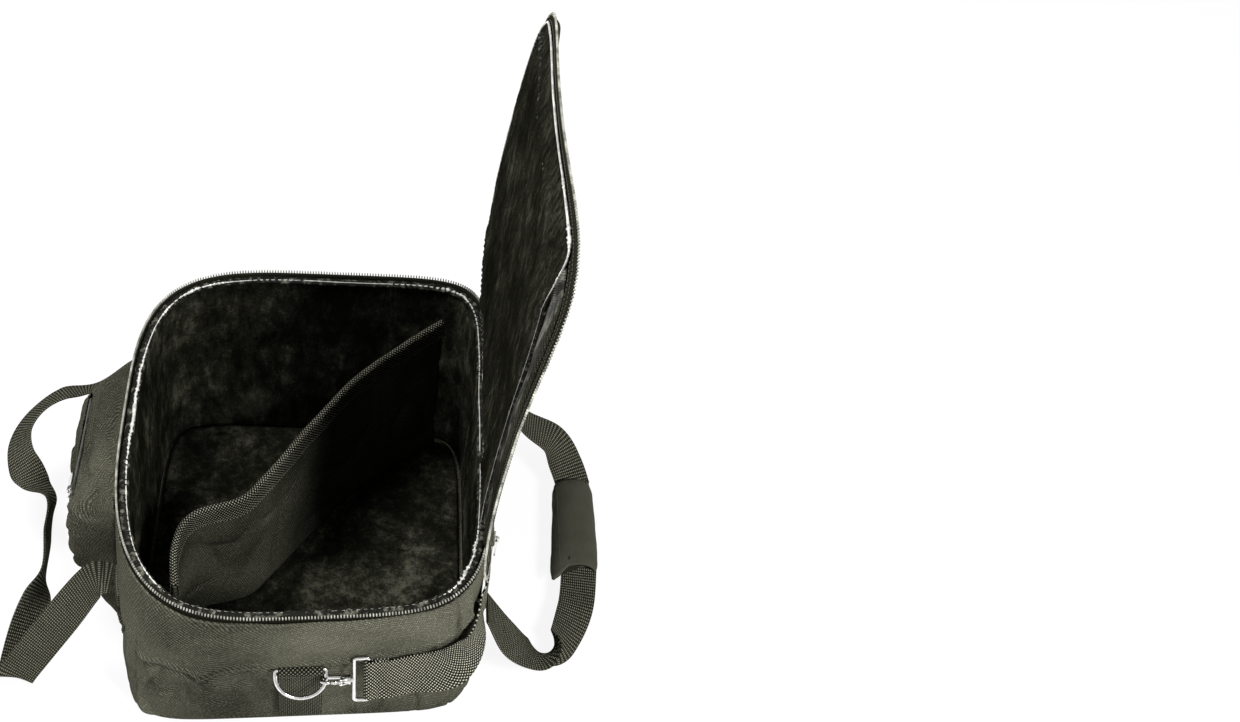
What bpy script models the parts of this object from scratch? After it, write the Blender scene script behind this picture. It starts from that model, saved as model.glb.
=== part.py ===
"""A soft, boxy drum pedal bag with its lid standing open, built at its real size in metres.

The bag stands on its base with the front towards -Y and the lid hinged along the right side, +X.
The body and the lid are layered as they are sewn: woven shell outside, foam between, plush inside.
"""

import math

import bmesh
import bpy
import numpy as np
from mathutils import Matrix, Vector
from mathutils.bvhtree import BVHTree

# Driving sizes, in metres
BAG_HEIGHT = 0.245
MOUTH_HALF_WIDTH = 0.1875
MOUTH_FRONT_REACH = 0.247
MOUTH_REAR_REACH = 0.225
BASE_HALF_WIDTH = 0.183
BASE_FRONT_REACH = 0.202
BASE_REAR_REACH = 0.215
FRONT_SAG = 0.020
REAR_SAG = 0.0085
LEFT_SAG = 0.009
SHELL_THICKNESS = 0.0012
FOAM_THICKNESS = 0.006
PLUSH_THICKNESS = 0.004
CLEARANCE = 0.00035
LID_LENGTH = 0.400
LID_HALF_SPAN = 0.25

# Shapes without a unit: squareness is a superellipse exponent, front left, front right, rear left, rear right
BASE_SQUARENESS = (6.9, 6.9, 6.9, 6.9)
MOUTH_SQUARENESS = (3.0, 5.5, 3.5, 6.0)
LID_SQUARENESS = (5.1, 7.6, 2.7, 5.2)
MOUTH_TAPER_SHARE = 0.015
SKEW_SHARE = 0.1
LID_OPEN_DEGREES = 98.0

# Seams between the four walls, as angles round the bag from +X
FRONT_RIGHT_SEAM = 310.0
FRONT_LEFT_SEAM = 225.0
REAR_LEFT_SEAM = 135.0
REAR_RIGHT_SEAM = 45.0
SEAM_HALF_GAP = 0.15
ZIP_START = 28.0
ZIP_END = 341.0


# Scene and helpers
def clear_scene():
    for obj in list(bpy.data.objects):
        bpy.data.objects.remove(obj, do_unlink=True)


clear_scene()
BAG = bpy.data.collections.new("drum_pedal_bag")
CUTTERS = bpy.data.collections.new("cutters")
bpy.context.scene.collection.children.link(BAG)
bpy.context.scene.collection.children.link(CUTTERS)
CUTTERS.hide_render = True


def material(name, colour, roughness, metallic=0.0):
    made = bpy.data.materials.new(name)
    made.use_nodes = True
    shader = made.node_tree.nodes["Principled BSDF"]
    shader.inputs["Base Color"].default_value = (*colour, 1.0)
    shader.inputs["Roughness"].default_value = roughness
    shader.inputs["Metallic"].default_value = metallic
    return made


NYLON = material("woven_nylon", (0.032, 0.031, 0.028), 0.7)
WEBBING = material("nylon_webbing", (0.05, 0.05, 0.045), 0.65)
TAPE = material("zip_tape", (0.02, 0.02, 0.018), 0.8)
CHAIN = material("zip_chain", (0.09, 0.09, 0.085), 0.35)
PLUSH = material("plush_pile", (0.018, 0.018, 0.016), 0.95)
FOAM = material("foam", (0.12, 0.12, 0.115), 0.9)
BOARD = material("base_board", (0.03, 0.03, 0.03), 0.5)
BINDING = material("glossy_binding", (0.05, 0.05, 0.047), 0.2)
CHROME = material("plated_metal", (0.75, 0.75, 0.73), 0.12, 1.0)
WRAP = material("neoprene_wrap", (0.06, 0.06, 0.055), 0.85)


def added(name, mesh, finish, parent=None):
    """A new object in the bag's collection that holds this mesh."""
    made = bpy.data.objects.new(name, mesh)
    made.data.materials.append(finish)
    BAG.objects.link(made)
    made.parent = parent
    return made


def pivot(name, location, rotation=(0.0, 0.0, 0.0), parent=None):
    """An empty on a joint's axis, which carries the pieces that turn or slide there."""
    made = bpy.data.objects.new(name, None)
    BAG.objects.link(made)
    made.location = location
    made.rotation_euler = rotation
    made.parent = parent
    return made


def mesh_of(build):
    """The mesh of a bmesh, which is freed."""
    made = bpy.data.meshes.new("shape")
    build.to_mesh(made)
    build.free()
    return made


def sheet(name, rows, finish, thickness, cyclic=False, parent=None, even=True):
    """A cloth laid through rows of points, thickened on the side away from across-times-up."""
    build = bmesh.new()
    grid = [[build.verts.new(point) for point in row] for row in rows]
    for lower, upper in zip(grid, grid[1:]):
        count = len(lower)
        for i in range(count if cyclic else count - 1):
            j = (i + 1) % count
            build.faces.new((lower[i], lower[j], upper[j], upper[i]))
    made = added(name, mesh_of(build), finish, parent)
    thicken(made, thickness, even)
    return made


def thicken(obj, thickness, even=True):
    solidify = obj.modifiers.new("thickness", "SOLIDIFY")
    solidify.thickness = thickness
    solidify.offset = -1.0
    solidify.use_even_offset = even


def disc(name, rings, centre, finish, thickness, parent=None):
    """A panel filled from its outer ring in to one centre point, thickened downwards."""
    build = bmesh.new()
    grid = [[build.verts.new(point) for point in ring] for ring in rings]
    middle = build.verts.new(centre)
    for outer, inner in zip(grid, grid[1:]):
        for i in range(len(outer)):
            j = (i + 1) % len(outer)
            build.faces.new((outer[i], outer[j], inner[j], inner[i]))
    last = grid[-1]
    for i in range(len(last)):
        build.faces.new((last[i], last[(i + 1) % len(last)], middle))
    made = added(name, mesh_of(build), finish, parent)
    thicken(made, thickness)
    return made


def loft(name, sections, finish, cyclic=False, parent=None):
    """A closed solid through like sections, capped at its ends unless it runs round."""
    build = bmesh.new()
    loops = [[build.verts.new(point) for point in section] for section in sections]
    count = len(loops)
    for k in range(count if cyclic else count - 1):
        near, far = loops[k], loops[(k + 1) % count]
        for i in range(len(near)):
            j = (i + 1) % len(near)
            build.faces.new((near[i], near[j], far[j], far[i]))
    if not cyclic:
        build.faces.new(loops[0])
        build.faces.new(loops[-1])
    bmesh.ops.recalc_face_normals(build, faces=build.faces)
    return added(name, mesh_of(build), finish, parent)


# The bag's outline: a superellipse whose reach and squareness change from base to mouth
TURN_STEP = 0.004


def mix(a, b, share):
    return a + (b - a) * share


def quadrant(values, cosine, sine):
    front = np.where(cosine < 0, values[0], values[1])
    rear = np.where(cosine < 0, values[2], values[3])
    return np.where(sine < 0, front, rear)


def raw_outline(share, radians):
    cosine, sine = np.cos(radians), np.sin(radians)
    base_square = quadrant(BASE_SQUARENESS, cosine, sine)
    square = mix(base_square, quadrant(MOUTH_SQUARENESS, cosine, sine), share)
    width = mix(BASE_HALF_WIDTH, MOUTH_HALF_WIDTH, share)
    front = mix(BASE_FRONT_REACH, MOUTH_FRONT_REACH, share)
    rear = mix(BASE_REAR_REACH, MOUTH_REAR_REACH, share)
    x = width * np.sign(cosine) * np.abs(cosine) ** (2 / square)
    y = np.where(sine < 0, front, rear) * np.sign(sine) * np.abs(sine) ** (2 / square)
    x = x * (1 + MOUTH_TAPER_SHARE * share * y / rear)
    y = y + SKEW_SHARE * x * np.maximum(-sine, 0)
    return np.stack([x, y], axis=-1)


def inward(curve, radians):
    """Unit vectors that point into a closed outline, square to it."""
    along = curve(radians + TURN_STEP) - curve(radians - TURN_STEP)
    along = along / np.linalg.norm(along, axis=-1, keepdims=True)
    return np.stack([-along[..., 1], along[..., 0]], axis=-1)


def outline(share, degrees, inset=0.0):
    radians = np.radians(degrees)
    points = raw_outline(share, radians)
    return points + inset * inward(lambda at: raw_outline(share, at), radians)


def rim_height(degrees):
    """The height of the zip line, which sags between the corners."""
    cosine, sine = np.cos(np.radians(degrees)), np.sin(np.radians(degrees))
    front = FRONT_SAG * np.maximum(-sine, 0) ** 2
    rear = REAR_SAG * np.maximum(sine, 0) ** 2
    return BAG_HEIGHT - front - rear - LEFT_SAG * np.maximum(-cosine, 0) ** 2


def ring_row(degrees, height_share, inset, lift=0.0):
    """Points round the bag at a share of the local rim height, then lifted or lowered."""
    height = rim_height(degrees) * height_share + lift
    share = np.clip(height / rim_height(degrees), 0.0, 1.0)
    plan = np.array([outline(s, d, inset) for s, d in zip(share, degrees)])
    return [Vector((x, y, z)) for (x, y), z in zip(plan, height)]


def between(start, end, count):
    return np.linspace(start + SEAM_HALF_GAP, end - SEAM_HALF_GAP, count)


PANEL_POINTS = 12
PANEL_ANGLES = {
    "rear": between(REAR_RIGHT_SEAM, REAR_LEFT_SEAM, PANEL_POINTS),
    "left": between(REAR_LEFT_SEAM, FRONT_LEFT_SEAM, PANEL_POINTS),
    "front": between(FRONT_LEFT_SEAM, FRONT_RIGHT_SEAM, PANEL_POINTS),
    "right": between(FRONT_RIGHT_SEAM, 360.0 + REAR_RIGHT_SEAM, PANEL_POINTS),
}
ALL_ANGLES = np.concatenate(list(PANEL_ANGLES.values()))

# Walls: four lower panels, four upper bands sewn on top of them
BAND_SEAM_SHARE = 0.56
BAND_TOP_DROP = 0.009
SEAM_GAP = 0.0005
PANEL_LEVEL_SHARES = (0.0, 0.16, 0.36, BAND_SEAM_SHARE)
HINGE_ZONE = (342.0, 386.0)
WALLS = {}


def wall_panel(side):
    angles = PANEL_ANGLES[side]
    rows = [ring_row(angles, share, 0.0) for share in PANEL_LEVEL_SHARES]
    WALLS[side + "_panel"] = sheet(side + "_panel", rows, NYLON, SHELL_THICKNESS)


def wall_band(side):
    angles = PANEL_ANGLES[side]
    hinged = (side == "right") & (angles > HINGE_ZONE[0]) & (angles < HINGE_ZONE[1])
    drop = np.where(hinged, 0.0, -BAND_TOP_DROP)
    low = ring_row(angles, BAND_SEAM_SHARE, 0.0, SEAM_GAP)
    middle = ring_row(angles, mix(BAND_SEAM_SHARE, 1.0, 0.5), 0.0)
    high = ring_row(angles, 1.0, 0.0, drop)
    name = "hinge_band" if side == "right" else side + "_band"
    WALLS[name] = sheet(name, [low, middle, high], NYLON, SHELL_THICKNESS)


for wall_side in PANEL_ANGLES:
    wall_panel(wall_side)
    wall_band(wall_side)

# Base: outer cloth, stiffening board and plush floor, stacked inside the walls
BASE_CLOTH = 0.0025
BOARD_THICKNESS = 0.0035
BOARD_INSET = 0.0095
FLOOR_PLUSH_INSET = 0.0150
FOAM_INSET = SHELL_THICKNESS + 6 * CLEARANCE
LINING_INSET = FOAM_INSET + FOAM_THICKNESS + 2 * CLEARANCE
FOAM_FOOT = BASE_CLOTH + CLEARANCE
LINING_FOOT = FOAM_FOOT + CLEARANCE
LINING_DROP = 0.012
LINER_LEVEL_SHARES = (0.2, 0.5, 0.75)


def floor_plate(name, bottom, thickness, inset, finish):
    angles = ALL_ANGLES
    plan = outline(0.0, angles, inset)
    top = bottom + thickness
    edge = [Vector((x, y, top)) for x, y in plan]
    return disc(name, [edge], Vector((0.0, 0.0, top)), finish, thickness)


floor_plate("base_panel", 0.0, BASE_CLOTH, SHELL_THICKNESS + 2 * CLEARANCE, NYLON)


def liner(name, inset, foot, thickness, finish):
    angles = ALL_ANGLES
    rows = [ring_row(angles, 0.0, inset, foot)]
    rows += [ring_row(angles, share, inset) for share in LINER_LEVEL_SHARES]
    rows += [ring_row(angles, 1.0, inset, -LINING_DROP)]
    return sheet(name, rows, finish, thickness, cyclic=True)


liner("body_foam", FOAM_INSET, FOAM_FOOT, FOAM_THICKNESS, FOAM)
liner("body_lining", LINING_INSET, LINING_FOOT, PLUSH_THICKNESS, PLUSH)
FLOOR_INSET = LINING_INSET + PLUSH_THICKNESS + 3 * CLEARANCE
floor_plate("base_board", FOAM_FOOT, BOARD_THICKNESS, FLOOR_INSET, BOARD)
FLOOR_BOTTOM = FOAM_FOOT + BOARD_THICKNESS + CLEARANCE
floor_plate("floor_lining", FLOOR_BOTTOM, PLUSH_THICKNESS, FLOOR_INSET, PLUSH)
FLOOR_TOP = FLOOR_BOTTOM + PLUSH_THICKNESS

# Mouth: glossy binding over the raw edges, zip tape and zip chain round three sides
TAPE_THICKNESS = 0.0007
TAPE_INSET = SHELL_THICKNESS + 2 * CLEARANCE
TAPE_FOOT_DROP = 0.022
CHAIN_HALF_WIDTH = 0.0024
CHAIN_HALF_HEIGHT = 0.0022
TAPE_TOP_DROP = 2 * CHAIN_HALF_HEIGHT + CLEARANCE
CHAIN_INSET = 0.0020
BINDING_TOP_DROP = 0.0052
BINDING_OUTER = FOAM_INSET
BINDING_OVERLAP = 0.0008
BINDING_INNER = LINING_INSET + PLUSH_THICKNESS + BINDING_OVERLAP
ZIP_ANGLES = ALL_ANGLES[(ALL_ANGLES > ZIP_START) & (ALL_ANGLES < ZIP_END)]
ZIP_ANGLES = np.concatenate([PANEL_ANGLES["right"][-3:-1] - 360.0, ZIP_ANGLES])
HEXAGON_SHARES = ((-1.0, 0.0), (-0.5, 1.0), (0.5, 1.0), (1.0, 0.0), (0.5, -1.0), (-0.5, -1.0))


def ring_bead(name, angles, inset, drop, half_width, half_height, finish, cyclic):
    """A bead of six sides that follows the mouth at an inset and a drop from the zip line."""
    lines = []
    for across, up in HEXAGON_SHARES:
        lift = half_height * up - drop
        lines.append(ring_row(angles, 1.0, inset + half_width * across, lift))
    sections = [[line[k] for line in lines] for k in range(len(angles))]
    return loft(name, sections, finish, cyclic)


TAPE_ROWS = [ring_row(ZIP_ANGLES, 1.0, TAPE_INSET, -drop) for drop in (TAPE_FOOT_DROP, TAPE_TOP_DROP)]
sheet("body_zip_tape", TAPE_ROWS, TAPE, TAPE_THICKNESS)
ring_bead(
    "body_zip_chain",
    ZIP_ANGLES,
    CHAIN_INSET,
    CHAIN_HALF_HEIGHT,
    CHAIN_HALF_WIDTH,
    CHAIN_HALF_HEIGHT,
    CHAIN,
    False,
)
WALL_LEAN = (MOUTH_FRONT_REACH - BASE_FRONT_REACH) / BAG_HEIGHT
EDGE_RISE_SHARE = 1.3
EDGE_RISE = WALL_LEAN * FOAM_THICKNESS * EDGE_RISE_SHARE + CLEARANCE
BINDING_HALF_HEIGHT = (LINING_DROP - BINDING_TOP_DROP - EDGE_RISE) / 2
ring_bead(
    "rim_binding",
    ALL_ANGLES,
    (BINDING_OUTER + BINDING_INNER) / 2,
    BINDING_TOP_DROP + BINDING_HALF_HEIGHT,
    (BINDING_INNER - BINDING_OUTER) / 2,
    BINDING_HALF_HEIGHT,
    BINDING,
    True,
)


# Lid: modelled shut, flat over the hinge axis at its own origin, and carried by a turned empty
AXIS_HEIGHT = BAG_HEIGHT + 0.0034
AXIS_X = 0.184
PIPING_RADIUS = 0.003
LID_START = PIPING_RADIUS + CLEARANCE
LID_FRONT_SAG = 0.034
LID_REAR_SAG = 0.008
LID_BOW = 0.022
LID_ARCH_SHARE = 0.02
LID_SAG_POWER = 2.5
GUSSET_INSET = 0.048
TIP_INSET = 0.0215
TIP_ANGLE = 138.0
TIP_SPREAD = 24.0
HINGE_SIDE_INSET = 0.032
LID_TAPE_WIDTH = 0.013
LID_SEAM_GAP = 0.0006
LID_LAYER_GAP = 0.0006
LID_ANGLES = np.arange(0.0, 360.0, 7.5)
LID_ZIP_ANGLES = LID_ANGLES[(LID_ANGLES > 18.0) & (LID_ANGLES < 342.0)]

LID_TURN = (0.0, math.radians(LID_OPEN_DEGREES), 0.0)
lid_hinge = pivot("lid_hinge_axis", (AXIS_X, 0.0, AXIS_HEIGHT), LID_TURN)


def lid_outline(degrees, inset, hinge_inset):
    """The lid's plan, drawn in by one inset along its zip edge and by another along its hinge."""
    cosine, sine = np.cos(np.radians(degrees)), np.sin(np.radians(degrees))
    square = quadrant(LID_SQUARENESS, cosine, sine)
    near, far = -hinge_inset, inset - LID_LENGTH
    x = (near + far) / 2 + (near - far) / 2 * np.sign(cosine) * np.abs(cosine) ** (2 / square)
    y = (LID_HALF_SPAN - inset) * np.sign(sine) * np.abs(sine) ** (2 / square)
    return x, y


def lid_sag(x, y):
    """How far the soft lid hangs in from flat at a point of its plan."""
    out_share = np.clip(-x / LID_LENGTH, 0.0, 1.0)
    span_share = np.clip(y / LID_HALF_SPAN, -1.0, 1.0)
    arch = np.sqrt(4 * out_share * (1 - out_share) + LID_ARCH_SHARE) - math.sqrt(LID_ARCH_SHARE)
    front = LID_FRONT_SAG * np.maximum(-span_share, 0) ** LID_SAG_POWER * arch
    rear = LID_REAR_SAG * np.maximum(span_share, 0) ** LID_SAG_POWER * arch
    return LID_BOW * out_share * (1 - span_share**2) + front + rear


def lid_row(degrees, inset, lift, hinge_inset=None):
    """Points round the lid at an inset from its edge and a lift off its mid layer."""
    x, y = lid_outline(degrees, inset, inset if hinge_inset is None else hinge_inset)
    return [Vector(point) for point in zip(x, y, lift - lid_sag(x, y))]


def gusset_inset(degrees):
    """The gusset's width, which narrows round the tip of the lid."""
    near_tip = np.exp(-(((degrees - TIP_ANGLE) / TIP_SPREAD) ** 2))
    return mix(GUSSET_INSET, TIP_INSET, near_tip)


def field_row(share, lift, cover=0.0):
    """A row of the gusset or the field: share 0 is the lid's edge and share 1 the field's seam."""
    inset = mix(GUSSET_EDGE, gusset_inset(LID_ANGLES), share) + cover
    ease = np.minimum(1.0, np.abs(np.sin(np.radians(LID_ANGLES))) / HINGE_EASE)
    edge = mix(LID_START, GUSSET_EDGE, ease)
    hinge_inset = mix(edge, HINGE_SIDE_INSET, share) + cover
    return lid_row(LID_ANGLES, inset, lift, hinge_inset)


def lid_field(name, cover, lift, thickness, finish):
    """One layer of the lid's field, in three rings and a centre point."""
    rings = [field_row(1.0, lift, cover)]
    centre = Vector((-LID_LENGTH / 2, 0.0, lift - lid_sag(-LID_LENGTH / 2, 0.0)))
    for share in FIELD_RING_SHARES:
        rings.append([point.lerp(centre, share) for point in rings[0]])
        for point in rings[-1]:
            point.z = lift - lid_sag(point.x, point.y)
    return disc(name, rings, centre, finish, thickness, lid_hinge)


def lid_bead(name, degrees, inset, hinge_inset, lift, half_width, half_height, finish, cyclic):
    """A bead of six sides round the lid."""
    lines = []
    for across, up in HEXAGON_SHARES:
        step = half_width * across
        lines.append(lid_row(degrees, inset + step, lift + half_height * up, hinge_inset + step))
    sections = [[line[k] for line in lines] for k in range(len(degrees))]
    return loft(name, sections, finish, cyclic, lid_hinge)


FIELD_RING_SHARES = (1 / 3, 2 / 3)
HINGE_EASE = 0.3
FOAM_LIFT = -LID_LAYER_GAP - SHELL_THICKNESS
LINING_LIFT = FOAM_LIFT - FOAM_THICKNESS - LID_LAYER_GAP
EDGE_COVER = 0.005
GUSSET_EDGE = LID_SEAM_GAP + 2 * CHAIN_HALF_WIDTH
lid_field("lid_panel", 0.0, 0.0, SHELL_THICKNESS, NYLON)
lid_field("lid_foam", EDGE_COVER, FOAM_LIFT, FOAM_THICKNESS, FOAM)
lid_field("lid_lining", EDGE_COVER, LINING_LIFT, PLUSH_THICKNESS, PLUSH)
gusset_rows = [field_row(0.0, 0.0), field_row(0.5, 0.0), field_row(1.0, 0.0, -LID_SEAM_GAP)]
sheet("lid_gusset", gusset_rows, NYLON, SHELL_THICKNESS, cyclic=True, parent=lid_hinge)
TAPE_LIFT = -SHELL_THICKNESS - LID_LAYER_GAP
tape_rows = [
    lid_row(LID_ZIP_ANGLES, GUSSET_EDGE, TAPE_LIFT),
    lid_row(LID_ZIP_ANGLES, LID_TAPE_WIDTH + GUSSET_EDGE, TAPE_LIFT),
]
sheet("lid_zip_tape", tape_rows, TAPE, TAPE_THICKNESS, parent=lid_hinge)
lid_bead(
    "lid_zip_chain",
    LID_ZIP_ANGLES,
    CHAIN_HALF_WIDTH,
    CHAIN_HALF_WIDTH,
    -SHELL_THICKNESS,
    CHAIN_HALF_WIDTH,
    CHAIN_HALF_HEIGHT,
    CHAIN,
    False,
)
LID_BINDING_HALF_WIDTH = (EDGE_COVER - LID_SEAM_GAP) / 2
LID_BINDING_HALF_HEIGHT = (FOAM_THICKNESS + PLUSH_THICKNESS) / 2
lid_bead(
    "lid_binding",
    LID_ANGLES,
    gusset_inset(LID_ANGLES) + LID_BINDING_HALF_WIDTH - LID_SEAM_GAP,
    HINGE_SIDE_INSET + LID_BINDING_HALF_WIDTH - LID_SEAM_GAP,
    TAPE_LIFT - LID_BINDING_HALF_HEIGHT,
    LID_BINDING_HALF_WIDTH,
    LID_BINDING_HALF_HEIGHT,
    BINDING,
    True,
)
PIPING_FRONT_SETBACK = 0.079
PIPING_REAR_SETBACK = 0.047
PIPING_ENDS = [
    (AXIS_X, PIPING_FRONT_SETBACK - MOUTH_FRONT_REACH, AXIS_HEIGHT),
    (AXIS_X, MOUTH_REAR_REACH - PIPING_REAR_SETBACK, AXIS_HEIGHT),
]


def rod(name, points, radius, finish, sides_resolution=1, cyclic=False, parent=None):
    """A round wire or cord through points."""
    curve = bpy.data.curves.new(name, "CURVE")
    curve.dimensions = "3D"
    curve.bevel_depth = radius
    curve.bevel_resolution = sides_resolution
    curve.use_fill_caps = not cyclic
    spline = curve.splines.new("POLY")
    spline.points.add(len(points) - 1)
    for target, point in zip(spline.points, points):
        target.co = (*point, 1.0)
    spline.use_cyclic_u = cyclic
    return added(name, curve, finish, parent)


rod("hinge_piping", PIPING_ENDS, PIPING_RADIUS, NYLON, 2)


# Seats on the finished walls, found by looking at each wall from outside
bpy.context.view_layer.update()
DEPSGRAPH = bpy.context.evaluated_depsgraph_get()
WALL_TREES = [BVHTree.FromObject(wall, DEPSGRAPH) for wall in WALLS.values()]
FAR_OUT = 2 * LID_LENGTH
WELD_LENGTH = 1e-6
SIDE_AXES = {"left": (-1, 0), "right": (1, 0), "front": (0, -1), "rear": (0, 1)}


def wall_frame(side, along, height, gap=CLEARANCE):
    """A frame seated on a wall: X runs level, Y runs up the wall and Z points out of it."""
    ax, ay = SIDE_AXES[side]
    hits = []
    for step in (-SEAM_GAP, 0.0, SEAM_GAP):
        across, back = (along if ay else 0.0), (along if ax else 0.0)
        start = (ax * FAR_OUT + across, ay * FAR_OUT + back, height + step)
        hits += [tree.ray_cast(start, (-ax, -ay, 0.0)) for tree in WALL_TREES]
    point, normal, _, _ = min((hit for hit in hits if hit[0] is not None), key=lambda hit: hit[3])
    level = Vector((0.0, 0.0, 1.0)).cross(normal).normalized()
    up = normal.cross(level)
    seat = Matrix((level, up, normal)).transposed().to_4x4()
    seat.translation = point + normal * gap
    return seat


def slab(name, width, height, thickness, frame, finish, rounding=0.0, parent=None):
    """A flat piece with rounded corners that stands out of a frame's origin."""
    build = bmesh.new()
    bmesh.ops.create_cube(build, size=1.0)
    bmesh.ops.scale(build, vec=(width, height, thickness), verts=build.verts)
    bmesh.ops.translate(build, vec=(0.0, 0.0, thickness / 2), verts=build.verts)
    if rounding:
        corners = [e for e in build.edges if abs(e.verts[0].co.z - e.verts[1].co.z) > thickness / 2]
        bmesh.ops.bevel(build, geom=corners, offset=rounding, segments=2, affect="EDGES", profile=0.5)
    made = added(name, mesh_of(build), finish, parent)
    made.matrix_local = frame
    return made


def flat_piece(name, outlines, width, frame, finish, parent=None):
    """A flat outline, its holes listed after it, extruded by a width about a frame's XY plane."""
    curve = bpy.data.curves.new(name, "CURVE")
    curve.dimensions = "2D"
    curve.fill_mode = "BOTH"
    curve.extrude = width / 2
    for points in outlines:
        spline = curve.splines.new("POLY")
        spline.points.add(len(points) - 1)
        for target, (x, y) in zip(spline.points, points):
            target.co = (x, y, 0.0, 1.0)
        spline.use_cyclic_u = True
    made = added(name, curve, finish, parent)
    made.matrix_local = frame
    return made


def meshed(obj):
    """The same piece as a welded mesh, so that it can be cut or joined."""
    bpy.context.view_layer.update()
    source = obj.evaluated_get(bpy.context.evaluated_depsgraph_get())
    mesh = bpy.data.meshes.new_from_object(source)
    build = bmesh.new()
    build.from_mesh(mesh)
    bmesh.ops.remove_doubles(build, verts=build.verts, dist=WELD_LENGTH)
    bmesh.ops.recalc_face_normals(build, faces=build.faces)
    build.to_mesh(mesh)
    build.free()
    name, parent, frame = obj.name, obj.parent, obj.matrix_local.copy()
    bpy.data.objects.remove(obj, do_unlink=True)
    made = bpy.data.objects.new(name, mesh)
    BAG.objects.link(made)
    made.parent = parent
    made.matrix_local = frame
    return made


def joined(target, others, operation="UNION"):
    """Booleans that join or cut helper pieces, which are then kept with the cutters."""
    for other in others:
        step = target.modifiers.new(operation.lower(), "BOOLEAN")
        step.operation = operation
        step.solver = "EXACT"
        step.object = other
        BAG.objects.unlink(other)
        CUTTERS.objects.link(other)
        other.hide_render = True
        other.display_type = "WIRE"
    return target


def arc(cx, cy, radius, start, end, count):
    """Points of an arc, angles in degrees."""
    turn = np.radians(np.linspace(start, end, count))
    return [(cx + radius * math.cos(a), cy + radius * math.sin(a)) for a in turn]


def smooth_route(points, steps):
    """Points of a smooth curve through the given ones, as many between each two as there are steps."""
    known = np.array(points, float)
    padded = np.vstack([2 * known[0] - known[1], known, 2 * known[-1] - known[-2]])
    route = []
    for k in range(1, len(padded) - 2):
        a, b, c, d = padded[k - 1 : k + 3]
        slope, bend, twist = c - a, 2 * a - 5 * b + 4 * c - d, 3 * b - a - 3 * c + d
        for t in np.arange(steps) / steps:
            route.append(b + (slope * t + bend * t**2 + twist * t**3) / 2)
    return np.array(route + [known[-1]])


def ribbon(name, points, sides, width, thickness, finish, parent=None):
    """Webbing laid along points, its width turned towards each side vector."""
    sections = []
    for k, centre in enumerate(points):
        along = points[min(k + 1, len(points) - 1)] - points[max(k - 1, 0)]
        along = along / np.linalg.norm(along)
        side = sides[k] - along * (sides[k] @ along)
        side = side / np.linalg.norm(side) * width / 2
        face = np.cross(along, side)
        face = face / np.linalg.norm(face) * thickness / 2
        sections.append([Vector(centre + p) for p in (side + face, face - side, -side - face, side - face)])
    return loft(name, sections, finish, parent=parent)


# Carry handles: webbing loops sewn to the two side walls
WEBBING_WIDTH = 0.038
WEBBING_THICKNESS = 0.0024
HANDLE_REACH = 0.14
HANDLE_HALF_SPACING = 0.15
LEFT_ROOT_DROP = 0.095
RIGHT_ROOT_DROP = 0.115
LEFT_ROOT_HEIGHT = BAG_HEIGHT - LEFT_ROOT_DROP
RIGHT_ROOT_HEIGHT = BAG_HEIGHT - RIGHT_ROOT_DROP
ANCHOR_LENGTH = 0.062
PIVOT_OUT = 0.0020
HANDLE_STEPS = 3
# Out from the wall, along it and up, as shares of the three sizes above, then the way the webbing's width points
LEFT_HANDLE_SHARES = (
    (0.0, 1.0, 1.0, 0, 1, 0),
    (0.14, 1.0, 0.94, 0, 1, 0),
    (0.44, 1.0, 0.76, 0, 0.88, -0.48),
    (0.69, 0.92, 0.76, -0.1, 0.9, -0.42),
    (0.88, 0.77, 0.72, -0.4, 0.7, -0.55),
    (0.98, 0.59, 0.65, -0.62, 0.5, -0.55),
    (0.95, 0.39, 0.61, -0.85, 0.3, -0.4),
    (0.82, 0.21, 0.56, -0.8, -0.35, 0.3),
    (0.68, 0.07, 0.53, 0, -0.72, 0.69),
    (0.66, -0.19, 0.45, 0, -0.72, 0.69),
    (0.65, -0.47, 0.37, 0.05, -0.7, 0.69),
    (0.68, -0.64, 0.29, -0.65, -0.5, 0.5),
    (0.75, -0.88, 0.14, -1, -0.1, 0.1),
    (0.79, -1.05, 0.035, -1, 0, 0),
    (0.78, -1.16, 0.07, -1, 0.1, 0),
    (0.7, -1.15, 0.2, -0.95, 0.2, 0.2),
    (0.4, -1.07, 0.62, -0.75, 0.5, 0.45),
    (0.16, -1.01, 0.95, -0.45, 0.85, 0.4),
    (0.06, -1.0, 1.0, -0.1, 1, 0.1),
    (0.0, -1.0, 1.0, 0, 1, 0),
)
RIGHT_HANDLE_SHARES = (
    (0.0, 1.0, 1.0, 0, 1, 0),
    (0.12, 1.0, 0.98, 0, 1, 0),
    (0.38, 0.97, 0.68, 0, 1, 0.1),
    (0.61, 0.95, 0.5, 0.45, 0.75, 0.2),
    (0.72, 0.86, 0.31, 0.9, 0.35, 0.2),
    (0.78, 0.74, 0.2, 1, 0, 0),
    (0.78, 0.69, 0.2, 1, 0, 0),
    (0.78, 0.32, 0.2, 1, 0, 0),
    (0.78, -0.04, 0.2, 1, 0, 0),
    (0.78, -0.1, 0.2, 1, 0, 0),
    (0.74, -0.4, 0.17, 0.97, 0.1, -0.1),
    (0.63, -0.68, 0.13, 0.75, 0.35, -0.5),
    (0.51, -0.84, 0.2, 0.3, 0.65, -0.7),
    (0.37, -0.93, 0.33, 0, 1, -0.1),
    (0.18, -1.0, 0.62, 0, 0.85, 0.5),
    (0.0, -1.0, 1.0, 0, 1, 0),
)


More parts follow.
